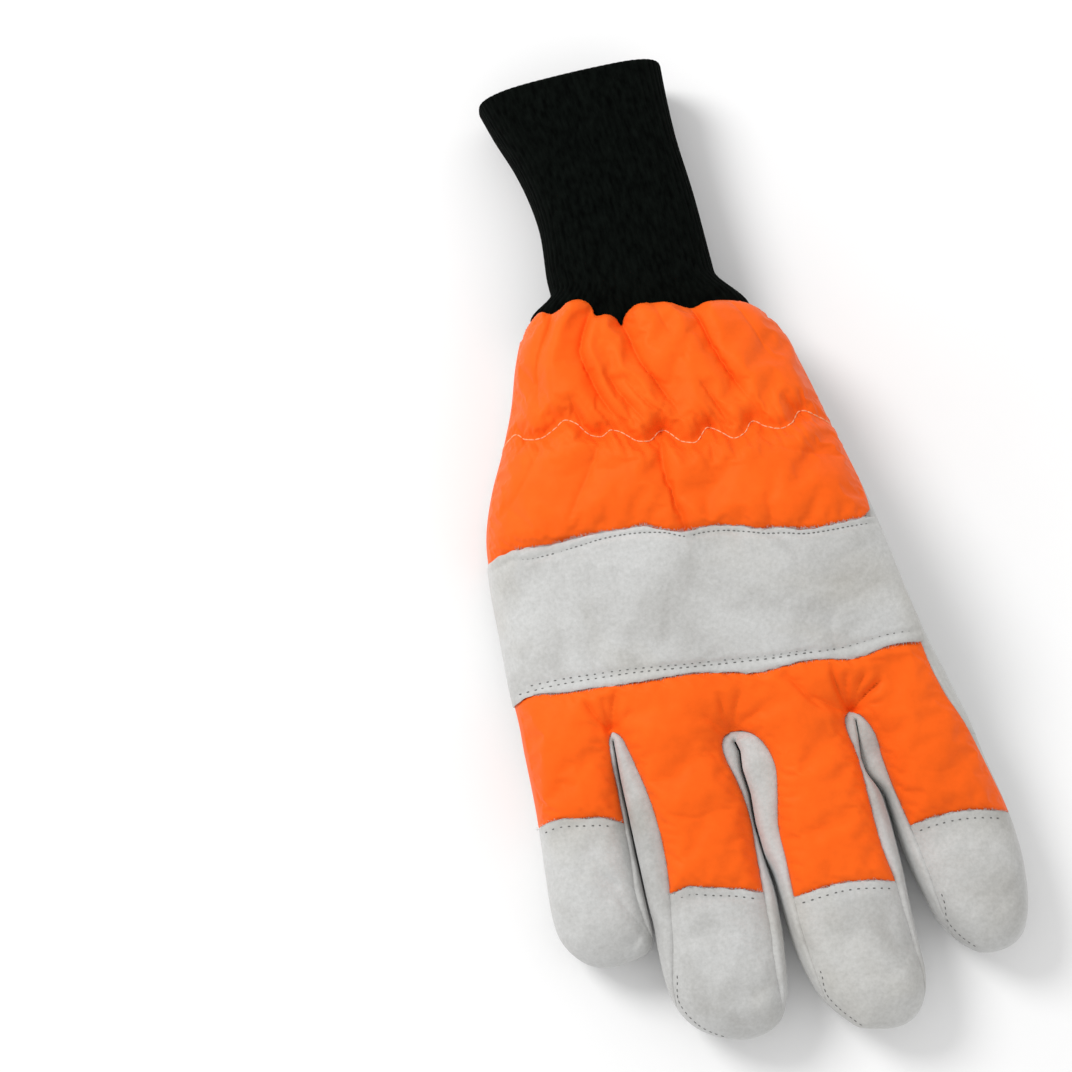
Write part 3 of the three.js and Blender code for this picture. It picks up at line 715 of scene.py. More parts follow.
def edges_at(s):
    """Both side edges of the back, the left one passing from the hand to the little finger."""
    left, right = hand_at(s)[:2]
    middle, wide = finger_at(0, WRIST_Y - LENGTH * s - SLANT * left)[:2]
    return left + (middle - wide - left) * step01((s - 0.9) / 0.12), right


def back_grid(first, last, rows, columns):
    """Plan points across the back between two shares of the hand's length, closer at the sides."""
    s, c = np.meshgrid(np.linspace(first, last, rows), np.linspace(-1, 1, columns), indexing="ij")
    left, right = edges_at(s)
    x = (left + right) / 2 + (right - left) / 2 * np.sin(c * np.pi / 2)
    y = WRIST_Y - LENGTH * s - SLANT * x
    faces = grid_faces(rows, columns)[:, ::-1]  # rows run to -Y, so the order is turned round
    return plan_of(x, y), faces


def edge_height(points, line):
    """How far a point lies above a line given by rising x."""
    across, along = np.asarray(line, float).T
    tilt = np.interp(points[:, 0], across, np.gradient(along, across))
    return (points[:, 1] - on_line(line, points[:, 0])) / np.sqrt(1 + tilt**2)


def side_share(points):
    s = share_along(points[:, 0], points[:, 1])
    left, right = edges_at(s)
    return np.clip((points[:, 0] - (left + right) / 2) / ((right - left) / 2), -1, 1)


def cuff_top(x):
    """Height of the cuff where the gathered edge lies on it."""
    return 14.5 + 14.8 * up(np.clip((x - 0.7) / 34, -1, 1), 2.6)


SEAM_LINES = [trace(line, 0.9) for pair in FORK_SEAMS for line in pair]
RIGHT_SEAM = trace(INDEX_SEAM, 1.5)


def shifted(line, dy):
    return [(x, y + dy) for x, y in line]


def wrist_height(points):
    x, y = points[:, 0], points[:, 1]
    share = np.abs(side_share(points))
    side = 1 - share**6
    puff = PUFF_WRIST * rounded(edge_height(points, STRAP_TOP) / 6) * side
    elastic = nearest(points, trace(ELASTIC, 0.8))[0]
    puff = puff - 2.3 * bell(elastic / 2.3) * side
    puff = puff + 0.7 * bell((elastic - 6) / 3.5) * side
    # small pillows between the creases that fan out from the elastic's thread
    for length, seed, size in ((4.7, 3, 0.75), (3.1, 4, 0.35)):
        phase = np.pi * (x + 0.22 * y) / length + 1.5 * waves(points, 17, seed)
        puff = puff + size * (np.abs(np.sin(phase)) ** 0.75 - 0.6) * bell(elastic / 6) * side
    puff = puff - drawn_in(points, WRIST_FOLDS) * (1 - share**10)
    puff = puff + (0.4 * waves(points, 17, 5) + 0.16 * waves(points, 6.5, 6)) * side
    high = top(x, y) - 1.2 * share**60 + puff
    low = cuff_top(x) + 0.4
    # the cloth rolls over the gathered seam and lies on the cuff
    return low + (high - low) * rounded(nearest(points, trace(CUFF_EDGE, 0.6))[0] / 5.5)


def room_at(points):
    """Distance from the back panel's points to the seams round it, below 0 where it is covered."""
    x, y = points[:, 0], points[:, 1]
    room = -edge_height(points, STRAP_BOTTOM)
    for i, line in enumerate(CAP_EDGES):
        middle, wide = finger_at(i, y)[:2]
        here = np.abs(x - middle) < wide + 0.5
        room = np.where(here & (y < -62), np.minimum(room, edge_height(points, line)), room)
    for line in SEAM_LINES:
        room = np.where(room > 0, np.minimum(room, nearest(points, line)[0]), room)
    right = nearest(points, RIGHT_SEAM)
    return np.where(room > 0, np.minimum(room, np.where(right[2] < 0, -right[0], right[0])), room)


def back_height(points):
    x, y = points[:, 0], points[:, 1]
    share = side_share(points)
    shown = step01(edge_height(points, CAP_EDGES[0]) / 1.5)
    base = top(x, y) - 2.4 * np.abs(share) ** 60 * (share < 0) * shown
    side = 1 - np.abs(share) ** 8
    room = room_at(points)
    puff = PUFF_BACK * rounded(room / 6) * side
    puff = puff - drawn_in(points, BACK_FOLDS) * side * rounded(room / 2.5)
    pucker = np.abs(np.sin(np.pi * (x + y) / 4.4 + 1.8 * waves(points, 15, 8))) ** 0.8 - 0.6
    puff = puff + 0.3 * pucker * bell(np.maximum(room, 0) / 3.5) * (room > 0) * side
    rough = 0.38 * waves(points, 19, 11) + 0.14 * waves(points, 7, 12)
    puff = puff + rough * side * rounded(room / 5)
    return base + puff - np.where(room < 0, 0.5, 0)


def spread(share, count):
    """The four grid lines about each place and their weights, for a smooth reading between them."""
    at = np.clip(share, 0, 1) * (count - 1)
    low = np.clip(at.astype(int), 0, count - 2)
    t = at - low
    weights = [-t / 2 + t**2 - t**3 / 2, 1 - 2.5 * t**2 + 1.5 * t**3,
               t / 2 + 2 * t**2 - 1.5 * t**3, -(t**2) / 2 + t**3 / 2]
    return [np.clip(low + k, 0, count - 1) for k in (-1, 0, 1, 2)], weights


SETTLING_SCALE = 0.01  # ten times the glove's size, in metres for each millimetre
SETTLING_FRAMES = 18


def settled(points, height, first, last, rows, columns, free, slack, stiff, cap):
    """How far a padded panel's points move when it is simulated as cloth between its seams."""
    plan, faces = back_grid(first, last, rows, columns)
    start = np.column_stack([plan, height(plan)])
    mesh = bpy.data.meshes.new("settling")
    mesh.from_pydata((start * SETTLING_SCALE).tolist(), [], faces.tolist())
    obj = placed("settling", mesh)
    group = obj.vertex_groups.new(name="held")  # the sewn edges and what lies under leather
    group.add(np.nonzero(~free(plan))[0].tolist(), 1.0, "REPLACE")
    cloth = obj.modifiers.new("cloth", "CLOTH").settings
    cloth.quality, cloth.mass = 6, 0.15
    cloth.tension_stiffness = cloth.compression_stiffness = 20
    cloth.shear_stiffness, cloth.bending_stiffness, cloth.air_damping = 5, stiff, 3
    cloth.vertex_group_mass = "held"
    cloth.use_pressure, cloth.uniform_pressure_force = True, 0.8
    cloth.shrink_min = -slack
    cloth.effector_weights.gravity = 0
    for number in range(1, SETTLING_FRAMES + 1):
        bpy.context.scene.frame_set(number)
    seen = obj.evaluated_get(bpy.context.evaluated_depsgraph_get()).to_mesh()
    end = np.empty(len(start) * 3)
    seen.vertices.foreach_get("co", end)
    moved = end.reshape(-1, 3) / SETTLING_SCALE - start
    far = np.linalg.norm(moved, axis=1)
    moved *= (np.tanh(far / cap) * cap / np.maximum(far, 1e-6))[:, None]
    bpy.data.objects.remove(obj)
    bpy.context.scene.frame_set(1)
    moved = moved.reshape(rows, columns, 3)
    share = (share_along(points[:, 0], points[:, 1]) - first) / (last - first)
    row, row_weight = spread(share, rows)
    column, column_weight = spread(np.arcsin(side_share(points)) / np.pi + 0.5, columns)
    total = np.zeros((len(points), 3))
    for r, a in zip(row, row_weight):
        for c, b in zip(column, column_weight):
            total += moved[r, c] * (a * b)[:, None]
    return total


def wrist_panel():
    first, last = -0.075, 0.66
    points, faces = back_grid(first, last, 170, 280)
    outline = list(map(tuple, trace(CUFF_EDGE, 0.7)))
    # past both sides of the glove, and down the part of the index side's seam that shows
    outline += [(80, 40), (80, 8)] + [p for p in map(tuple, RIGHT_SEAM) if -6 < p[1] < 7.5]
    outline += [p for p in shifted(STRAP_TOP, -4)[::-1] if p[0] < 44] + [(-80, 4), (-80, 60)]
    points, faces = clip(points, faces, within(points, outline))

    def free(plan):
        sewn = nearest(plan, trace(ELASTIC, 0.8))[0] < 0.9
        loose = (within(plan, outline) > 1.0) & (edge_height(plan, STRAP_TOP) > 1.2)
        return loose & ~sewn & (np.abs(side_share(plan)) < 0.985)

    sheet = np.column_stack([points, wrist_height(points)])
    sheet += settled(points, wrist_height, first, last, 105, 120, free, 0.03, 3.0, 1.3)
    made = piece("gathered_wrist_panel", shell(sheet, faces, SHEET), CLOTH, "wrist_panel")


def back_panel():
    first, last = 0.76, 1.5
    points, faces = back_grid(first, last, 185, 290)
    outline = [(-80, -28)] + shifted(STRAP_BOTTOM[:-1], 4)
    outline += [p for p in map(tuple, RIGHT_SEAM) if -99 < p[1] < -41]
    for i in (3, 2, 1, 0):
        end = shifted(CAP_EDGES[i], -4)
        low = np.array(end)
        if i < 3:
            down = SEAM_LINES[2 * i]
            outline += [tuple(p) for p in down if p[1] > np.interp(p[0], *low.T)]
            outline.append(down_end(down, low))
        if i == 0:
            outline.append((-80, end[0][1]))
        else:
            rise = SEAM_LINES[2 * i - 1]
            outline.append(down_end(rise, low))
            outline += [tuple(p) for p in rise[::-1] if p[1] > np.interp(p[0], *low.T)]
    points, faces = clip(points, faces, within(points, outline))

    def free(plan):
        loose = (within(plan, outline) > 1.0) & (room_at(plan) > 0.8)
        return loose & (np.abs(side_share(plan)) < 0.985)

    sheet = np.column_stack([points, back_height(points)])
    sheet += settled(points, back_height, first, last, 105, 150, free, 0.014, 6.0, 1.0)
    # the end under the little finger's cap lies inside it
    share = side_share(points)
    covered = step01(-edge_height(points, CAP_EDGES[0]) / 0.8) * (share < 0)
    sheet[:, 0] += 0.9 * np.abs(share) ** 8 * covered
    made = piece("padded_back_panel", shell(sheet, faces, SHEET), CLOTH, "back_panel")


def down_end(line, low):
    """Where a seam line meets the hidden end of its tongue."""
    height = line[:, 1] - np.interp(line[:, 0], *low.T)
    k = int(np.argmax(height < 0))
    t = height[k - 1] / (height[k - 1] - height[k])
    return tuple(line[k - 1] + t * (line[k] - line[k - 1]))


# ---------------------------------------------------------------- leather on the back


# One row of stitches below the strap's upper edge and two above its lower one.
STRAP_STITCHES = [
    [(-57.5, 6.2), (-50, 6.2), (-47, 5.3), (-40, 4.7), (-22, 4.3), (-15, 3), (-10, 1.5), (-5, -0.9),
     (0, -1.2), (8, -2.9), (12, -4.4), (16, -5.9), (20, -6.8), (26, -8.6), (33, -9.4), (39, -9.6),
     (45, -9.8)],
    [(-59.5, -29.5), (-45, -30.5), (-30, -32.3), (-15, -34.6), (0, -37), (10, -38.5), (18, -39.3),
     (30, -40.5), (41, -40), (49.5, -40.5)],
    [(-56, -28.2), (-45, -29.2), (-30, -31.2), (-15, -33.7), (0, -36.1), (10, -37.7), (22, -38.9)],
]
STRAP_FOLDS = [
    ([(-41, 8), (-39, -2), (-39, -12)], 0.45, 1.6, 0.2, 1, 0),
    ([(-33, 7), (-30, 0), (-30, -7)], 0.35, 1.5, 0, 1, 0),
    ([(-4, 0), (-3, -8), (-4, -16)], 0.5, 1.7, 0.2, 1, 0),
    ([(8, -1), (11, -8), (15, -14)], 0.4, 1.4, 0, 1, 0),
    ([(19, -5), (22, -12), (24, -20)], 0.35, 1.5, 0, 1, 0),
    ([(-37, -33), (-38, -27), (-40, -21)], 0.4, 1.5, 0, 1, 0),
    ([(-5, -38), (-6, -32), (-8, -26)], 0.35, 1.5, 0, 1, 0),
    ([(27, -42), (27, -36), (29, -29)], 0.4, 1.5, 0, 1, 0),
]


def strap_lift(points):
    """Height of the strap's upper face above the base surface."""
    lift = 1.5 + 0.3 * waves(points, 22, 21) + 0.1 * waves(points, 8, 22)
    lift = lift - drawn_in(points, STRAP_FOLDS)
    inside = np.minimum(-edge_height(points, STRAP_TOP), edge_height(points, STRAP_BOTTOM))
    lift = lift - 0.55 * np.exp(-np.maximum(inside, 0) / 0.5)
    for line in STRAP_STITCHES:
        lift = lift - 0.4 * bell(nearest(points, trace(line, 2))[0] / 0.9)
    return lift


def knuckle_strap():
    rows, columns = 74, 190
    v, c = np.meshgrid(np.linspace(0, 1, rows), np.linspace(0, 1, columns), indexing="ij")
    v = v - 0.11 * np.sin(2 * np.pi * v)  # closer together at both raw edges
    seam = np.array(INDEX_SEAM)[::-1]
    end = hermite(-43.5 + 35.5 * v, seam[:, 1], seam[:, 0])
    left, right = hand_at((WRIST_Y + 32 - 41 * v + SLANT * 60) / LENGTH)[:2]
    share = np.clip((end - (left + right) / 2) / ((right - left) / 2), 0, 1)
    over = np.arccos(share ** (HAND_SQUARE / 2))
    angle = np.pi + (over - np.pi) * c
    a = squared(np.cos(angle), HAND_SQUARE)
    x = (left + right) / 2 + (right - left) / 2 * a - 0.15 * (1 - c) ** 30
    low, high = on_line(STRAP_BOTTOM, x), on_line(STRAP_TOP, x)
    rough = 0.22 * waves(plan_of(x, 40 * v), 4.5, 31).reshape(x.shape)
    flat = plan_of(x, low + (high - low) * v + rough * (np.abs(2 * v - 1) ** 12))
    base = np.column_stack([flat, top(flat[:, 0], flat[:, 1]) - 1.4 * (1 - c.ravel()) ** 40])
    faces = grid_faces(rows, columns)
    ends = 1 - 0.75 * bell(c.ravel() * 7)
    sheet = base + normals_of(base, faces) * (strap_lift(flat) * ends)[:, None]
    body = shell(sheet, faces, STRAP_SHEET, True)
    piece("leather_knuckle_strap", body, LEATHER, "knuckle_strap")


def strap_surface(x, y):
    return top(x, y) + strap_lift(plan_of(x, y))


def seam_share(i, side, y):
    """Where a cap's side edge lies, as a share of the finger's half width."""
    if (i == 0 and side < 0) or (i == 3 and side > 0):
        return np.ones_like(y)
    line = SEAM_LINES[2 * i] if side > 0 else SEAM_LINES[2 * i - 1]
    middle, wide = finger_at(i, y)[:2]
    x = np.interp(-y, -line[:, 1], line[:, 0])
    share = np.clip(np.abs(x - middle) / wide, 0, 1)
    return share + (1 - share) * step01((line[-1, 1] + 7 - y) / 7)


# Folds of each cap, given like the cloth's.
CAP_FOLDS = [
    [([(-51, -80), (-47.5, -85), (-43.5, -91)], 0.55, 2.2, 0.2, 0, 0),
     ([(-45.5, -92), (-42.5, -98), (-40, -103)], 0.5, 1.3, 0, 1, 1),
     ([(-51, -104), (-46, -103.5), (-42, -101.5)], 0.35, 1.1, 0, 0, 1),
     ([(-47, -106.5), (-44, -103), (-41, -99)], 0.25, 0.9, 0, 0, 1)],
    [([(-34, -104), (-29, -106), (-23, -105)], 0.3, 2.0, 0, 0, 0),
     ([(-20, -126), (-14, -124), (-9.5, -120)], 0.25, 1.6, 0, 0, 1)],
    [([(5, -113), (10, -116), (17, -115)], 0.3, 2.0, 0, 0, 0),
     ([(22, -128), (27, -124), (30, -118)], 0.25, 1.6, 0, 0, 1)],
    [([(42, -100), (47, -103), (54, -102)], 0.3, 2.0, 0, 0, 0),
     ([(41, -112), (46, -117), (50, -123)], 0.25, 1.6, 0, 1, 0)],
]


def cap_height(i, points):
    middle, wide, height, thick = finger_at(i, points[:, 1])
    b = np.clip((points[:, 0] - middle) / wide, -1, 1)
    gap = edge_height(points, CAP_EDGES[i])
    lift = 0.35 + 0.95 * np.exp(gap / 7) - 0.5 * np.exp(np.minimum(gap, 0) / 0.5)
    lift = lift - 0.35 * bell((gap + 2.2) / 0.9)
    lift = lift + 0.4 * waves(points, 13, 40 + i) + 0.12 * waves(points, 5, 50 + i)
    lift = lift - drawn_in(points, CAP_FOLDS[i])
    for k in (2 * i - 1, 2 * i):
        if 0 <= k < 6:
            away = nearest(points, SEAM_LINES[k])[0]
            lift = lift + 0.9 * rounded(away / 4.5) - 0.9
    return height + thick * up(b, FINGER_SQUARE) + lift * (1 - np.abs(b) ** 6)


def cap_surface(i):
    return lambda x, y: cap_height(i, plan_of(x, y))


def inwards(i, sheet, thickness):
    """A finger's skin moved in by a thickness, towards a line down the finger's middle."""
    tip_y = FINGERS[i]["tip"][1]
    middle, _, height, _ = finger_at(i, sheet[:, 1])
    core = np.column_stack([middle, np.maximum(sheet[:, 1], tip_y + 6), height])
    away = core - sheet
    return sheet + away * (thickness / np.maximum(np.linalg.norm(away, axis=1), 1.0))[:, None]


def across_cap(i, left_y, right_y, columns):
    """Shares of the finger's half width across its cap, from the left seam to the right one."""
    left, right = (
        np.arccos(np.clip(seam_share(i, side, y), 0, 1) ** (FINGER_SQUARE / 2))
        for side, y in ((-1, left_y), (1, right_y))
    )
    c = np.linspace(0, 1, columns)
    return squared(np.cos((np.pi - left)[:, None] * (1 - c) + right[:, None] * c), FINGER_SQUARE)


def tip_cap(i):
    rows, columns = 66, 64
    tip_y = FINGERS[i]["tip"][1]
    y0 = towards_tip(i, np.mean([p[1] for p in CAP_EDGES[i]]), rows)
    middle, wide = finger_at(i, y0)[:2]
    x = middle[:, None] + wide[:, None] * across_cap(i, y0, y0, columns)
    y = np.repeat(y0[:, None], columns, 1)
    rough = 0.2 * waves(plan_of(x, 0 * y), 4, 60 + i).reshape(x.shape)
    fade = np.clip(1 - (y - y0[0]) / (tip_y - y0[0]) * 3, 0, 1) ** 2
    y = y + (on_line(CAP_EDGES[i], x) - y0[0] + rough) * fade
    # the raw edge moved the rows, so the sides are set against the seams again
    middle, wide = finger_at(i, y)[:2]
    flat = plan_of(middle + wide * across_cap(i, y[:, 0], y[:, -1], columns), y)
    sheet = np.column_stack([flat, cap_height(i, flat)])
    faces = grid_faces(rows, columns)[:, ::-1]
    name = FINGERS[i]["name"]
    body = shell(sheet, faces, 0, True, inwards(i, sheet, CAP_SHEET))
    piece(name + "_leather_cap", body, LEATHER, name + "_tip_cap")


# Where the two sides of each fork touch, as (y, x), and where the gap between the fingers opens.
CREASES = [
    ([(-46, -36.7), (-52, -37.1), (-60, -37.6), (-70, -37.9), (-80, -38.2), (-92, -38.5),
      (-100, -38.6)], -103),
    ([(-54, -5.2), (-57.5, -4.6), (-60, -4.0), (-65, -4.7), (-72, -4.1), (-80, -4.6), (-90, -4.2),
      (-100, -3.4)], -96),
    ([(-56, 28.0), (-59, 28.9), (-64, 28.5), (-70, 27.9), (-76, 28.6), (-84, 30.4), (-94, 32.4)],
     -82),
]


def fork(i):
    """The strip of leather down one finger's side, through the crotch and down the next one's."""
    crease, opens = CREASES[i]
    start = CROTCHES[i][1] - 2.2
    runs, flags = [], []
    for number, side in ((i, 1), (i + 1, -1)):
        line = SEAM_LINES[i + number]
        y = np.linspace(line[-1, 1], FINGERS[number]["tip"][1] + 0.5, 14)[1:]
        middle, wide = finger_at(number, y)[:2]
        runs.append(np.vstack([line, plan_of(middle + side * wide, y)]))
        flags.append(np.concatenate([np.zeros(len(line)), np.ones(len(y))]))
    points = np.vstack([runs[0][::-1], runs[1][1:]])
    ended = np.concatenate([flags[0][::-1], flags[1][1:]]) > 0
    owner = np.concatenate([np.zeros(len(runs[0])), np.ones(len(runs[1]) - 1)])
    x, y = points[:, 0], points[:, 1]
    z = top(x, y) - 0.1
    low_y = np.minimum(y, start)
    sides = []
    for number, side in ((i, 1), (i + 1, -1)):
        middle, wide, height, thick = finger_at(number, low_y)
        depth, deep = below_seam(number, low_y, thick)
        end = middle + side * wide * up(deep, FINGER_SQUARE)
        sides.append((middle + side * wide, height, end, height - depth))
    # the share of the second finger, which grows on the way round the crotch
    turn = np.arange(len(y))
    around = turn[y > start]
    w = np.clip((turn - around[0]) / max(1, around[-1] - around[0]), 0, 1)
    w = np.where(y > start, step01(w), owner)
    edge_x, edge_z, end_x, end_z = (a * (1 - w) + b * w for a, b in zip(*sides))
    z = np.where(ended, edge_z, z)
    # near the crotch the two sides touch along the crease, which deepens down the finger
    touch = step01((low_y - opens) / 9)
    crease = np.array(crease, float)
    fold_x = np.interp(-low_y, -crease[:, 0], crease[:, 1]) + (2 * w - 1) * 0.1
    fold_z = np.maximum(edge_z, z - 1.7 - 0.08 * np.maximum(0, start - y))
    mid_x = edge_x + (fold_x - edge_x) * touch
    mid_z = edge_z + (fold_z - edge_z) * touch
    mid_z = np.where(ended, edge_z, mid_z)
    span = np.hypot(mid_x - x, low_y - y)
    roll = 0.55 * np.minimum(span / 3, 1) * ~ended
    rings = []
    for q in np.linspace(0, 1, 14):  # over the seam and down to the crease
        out, fall = np.sin(q * np.pi / 2) ** 0.85, np.cos(q * np.pi / 2) ** 0.85
        rise = roll * np.sin(np.pi * min(1, q * 1.25)) ** 0.8
        rings.append((x + (mid_x - x) * out, y + (low_y - y) * out,
                      mid_z + (z - mid_z) * fall + rise))
    for q in np.linspace(0, 1, 7)[1:]:  # on to the fingers' sides
        rings.append((mid_x + (edge_x - mid_x) * step01(q), low_y, mid_z + (edge_z - mid_z) * q))
    for q in np.linspace(0, 1, 7)[1:]:  # and round to the palm's leather
        out = 1 - np.cos(q * np.pi / 2) ** 0.8
        rings.append((edge_x + (end_x - edge_x) * out, low_y, edge_z + (end_z - edge_z) * q))
    grid = np.stack([np.stack(ring, 1) for ring in rings], 1)
    flat = grid[..., :2].reshape(-1, 2)
    arc = np.sin(np.linspace(0, np.pi, grid.shape[1])) * np.where(ended, 0.2, 1)[:, None]
    grid[..., 2] += 0.3 * arc * waves(flat, 10, 70 + i).reshape(arc.shape)
    sheet = grid.reshape(-1, 3)
    second = np.repeat(w, grid.shape[1])[:, None]
    ones, others = (inwards(k, sheet, FORK_SHEET) for k in (i, i + 1))
    inner = ones * (1 - second) + others * second
    name = f"{FINGERS[i]['name']}_{FINGERS[i + 1]['name']}_fork"
    body = shell(sheet, grid_faces(*grid.shape[:2]), 0, False, inner)
    piece("leather_" + name, body, LEATHER, name)


# ---------------------------------------------------------------- palm, thumb and cuff


def index_seam_at(y):
    return hermite(-y, -RIGHT_SEAM[:, 1], RIGHT_SEAM[:, 0])


def palm():
    rows, columns = 74, 90
    s = np.linspace(0.03, 1.07, rows)
    left, right = hand_at(s)[:2]
    middle, wide = (left + right) / 2, (right - left) / 2
    # the index side's seam lies on top of the roundness, so the palm's leather wraps over it
    seam_y = WRIST_Y - LENGTH * s - SLANT * right
    seam_x = index_seam_at(seam_y)
    share = np.clip((seam_x - 1.6 - middle) / wide, 0.5, 1)
    share = share + (1 - share) * step01((seam_y - 8) / 6)
    over = np.arccos(share ** (HAND_SQUARE / 2))
    angle = over[:, None] + (-np.pi - over)[:, None] * np.linspace(0, 1, columns)
    a = squared(np.cos(angle), HAND_SQUARE)
    x = middle[:, None] + wide[:, None] * a
    y = WRIST_Y - LENGTH * s[:, None] - SLANT * x
    tucked = 0.9 * step01((seam_x[:, None] - x) / 0.8)
    z = np.where(angle > 0, top(x, y) - tucked, bottom(x, y))
    # the cloth hangs over the leather's edge
    x = x + np.abs(a) ** 8 * (0.9 * (a < 0) - 0.7 * (a > 0) * step01((y - 3) / 2))
    flat = plan_of(x, y)
    z = z.ravel() + 0.35 * waves(flat, 18, 80) * (np.sin(np.minimum(angle, 0)).ravel() ** 2)
    sheet = np.column_stack([flat, np.maximum(z, LOWEST)])
    parts = [shell(sheet, grid_faces(rows, columns)[:, ::-1], PALM_SHEET)]
    parts += [finger_front(i) for i in range(4)]
    piece("leather_palm", stacked(*parts), LEATHER, "palm")


def finger_front(i):
    """The palm's leather on a finger, from the fork on one side to the one on the other."""
    root = FINGERS[i]["root"]
    rows, columns = 44, 40
    y0 = towards_tip(i, root + 9, rows)
    middle, wide, height, thick = finger_at(i, y0)
    drop = np.arcsin(below_seam(i, y0, thick)[1] ** (FINGER_SQUARE / 2))
    first, last = drop, (drop if i else 0 * drop)
    if i == 3:
        seam = index_seam_at(y0)
        share = np.clip((seam - 1.4 - middle) / wide, 0.5, 1)
        first = -np.arccos(share ** (FINGER_SQUARE / 2)) * step01((y0 + 106) / 12)
    c = np.linspace(0, 1, columns)
    angle = -first[:, None] * (1 - c) + (-np.pi + last)[:, None] * c
    a, u = squared(np.cos(angle), FINGER_SQUARE), squared(np.sin(angle), FINGER_SQUARE)
    x = middle[:, None] + wide[:, None] * a
    y = np.repeat(y0[:, None], columns, 1)
    if i == 0:
        x = x + 0.9 * np.abs(a) ** 8 * (a < 0) * step01((y + 72) / 6)
    z = height[:, None] + thick[:, None] * u
    if i == 3:
        z = np.where(angle > 0, top(x, y) - 0.9 * step01((seam[:, None] - x) / 0.8), z)
    # where the finger leaves the hand its underside runs into the palm
    merge = step01((y0 - root + 16) / 22)[:, None]
    z = np.where(angle < 0, z + merge * np.maximum(bottom(x, y) + 0.6 - z, 0), z)
    z = z + 0.3 * waves(plan_of(x, y), 12, 90 + i).reshape(x.shape) * np.minimum(u, 0) ** 2
    sheet = np.column_stack([plan_of(x, y), np.maximum(z, LOWEST).ravel()])
    faces = grid_faces(rows, columns)[:, ::-1]
    return shell(sheet, faces, 0, False, inwards(i, sheet, FINGER_SHEET))


# Places along the thumb: how far back, height, turn in degrees, shares of width and thickness.
THUMB = [
    (0, 0, 32.9, 90, 1, 1), (1, 0, 20.9, 90, 1, 1), (2, 0.96, 13.0, 60, 1, 1.03),
    (3, 5.8, 9.15, 25, 0.99, 1.05), (4, 15.4, 7.9, 0, 0.97, 1.02), (5, 33.6, 7.1, 0, 0.9, 0.9),
    (6, 42.2, 6.2, 0, 0.74, 0.7), (7, 46.6, 5.4, 0, 0.42, 0.4), (8, 47.6, 5.2, 0, 0.1, 0.1),
]


def thumb():
    rows, columns = 60, 56
    at = np.linspace(0.6, 8, rows)
    back, height, turn, wide, thick = read(THUMB, at)
    turn = np.radians(np.clip(turn, 0, 90))
    angle = np.linspace(0, 2 * np.pi, columns, endpoint=False)
    across, u = squared(np.cos(angle), HAND_SQUARE), squared(np.sin(angle), HAND_SQUARE)
    half_w, half_t = 19 * np.maximum(wide, 0.02), 7.75 * np.maximum(thick, 0.02)
    x = (31.3 - back)[:, None] - np.sin(turn)[:, None] * u * half_t[:, None]
    y = -8.6 - across * half_w[:, None]
    z = height[:, None] + np.cos(turn)[:, None] * u * half_t[:, None] - SUNK
    z = z + 0.3 * waves(plan_of(x, y), 12, 99).reshape(z.shape)
    sheet = np.column_stack([plan_of(x, y), np.maximum(z, LOWEST).ravel()])
    faces = grid_faces(rows, columns, closed=True)
    piece("leather_thumb", shell(sheet, faces, THUMB_SHEET), LEATHER, "thumb")


# Shares of the cuff's length: shift to the index side, width, height and slant.
CUFF = [
    (0.2, 0.9, 46.4, 29.4, 0.12), (0.45, 1.6, 45.0, 29.4, 0.06), (0.7, 0.0, 46.8, 30.0, 0.02),
    (0.87, -1.6, 50.9, 30.0, 0.0), (1.0, -2.5, 54.0, 29.1, 0.0),
]


def cuff():
    ribs, per = 74, 6
    columns = ribs * per
    # the ribs lie at even distances round the section
    dense = np.linspace(0, 2 * np.pi, 4001)
    ring = plan_of(
        24 * squared(np.cos(dense), HAND_SQUARE), 15 * squared(np.sin(dense), HAND_SQUARE)
    )
    arc = lengths(ring)
    angle = np.interp(np.arange(columns) / columns * arc[-1], arc, dense)
    across, u = squared(np.cos(angle), HAND_SQUARE), squared(np.sin(angle), HAND_SQUARE)
    rib = 0.32 * (np.abs(np.cos(np.arange(columns) / per * np.pi)) ** 0.7 - 0.6)
    # down the outside, round the end and back along the inside
    places = [(v, 0.0) for v in np.linspace(-0.16, 0.985, 66)]
    bend = np.linspace(0, np.pi, 8)[1:]
    places += [(0.985 + 0.015 * np.sin(b), 1.1 - 1.1 * np.cos(b)) for b in bend]
    places += [(v, 2.3) for v in np.linspace(0.97, 0.2, 18)]
    grid = []
    for v, inset in places:
        shift, width, height, slant = read(CUFF, max(v, 0.2))
        flare = step01(v / CUFF_FLARE)
        sink = 1 if inset == 0 else 0.8
        x0 = 0.7 + across * 30.8
        z0 = 15.2 + u * 13.6
        x1 = shift + across * width / 2
        z1 = 15 + u * height / 2
        x = x0 + (x1 - x0) * flare
        z = z0 + (z1 - z0) * flare
        n = np.stack([across * 15, u * 24], 1)
        n = np.sign(n) * np.abs(n) ** 1.3
        n /= np.linalg.norm(n, axis=1)[:, None]
        push = rib * sink - inset
        x, z = x + n[:, 0] * push, z + n[:, 1] * push
        y = 67.7 + v * CUFF_LENGTH - (SLANT + (slant - SLANT) * flare) * x
        z = z + 0.35 * waves(plan_of(x + 40 * (u < 0), y), 24, 120) * u
        grid.append(np.stack([x, y, np.maximum(z - SUNK, LOWEST)], 1))
    # the lining's end is joined to the first row again, out of sight inside the wrist
    faces = grid_faces(len(places) + 1, columns, closed=True) % (len(places) * columns)
    piece("rib_knit_cuff", (np.vstack(grid), faces[:, ::-1]), KNIT, "knit_cuff")


# ---------------------------------------------------------------- threads


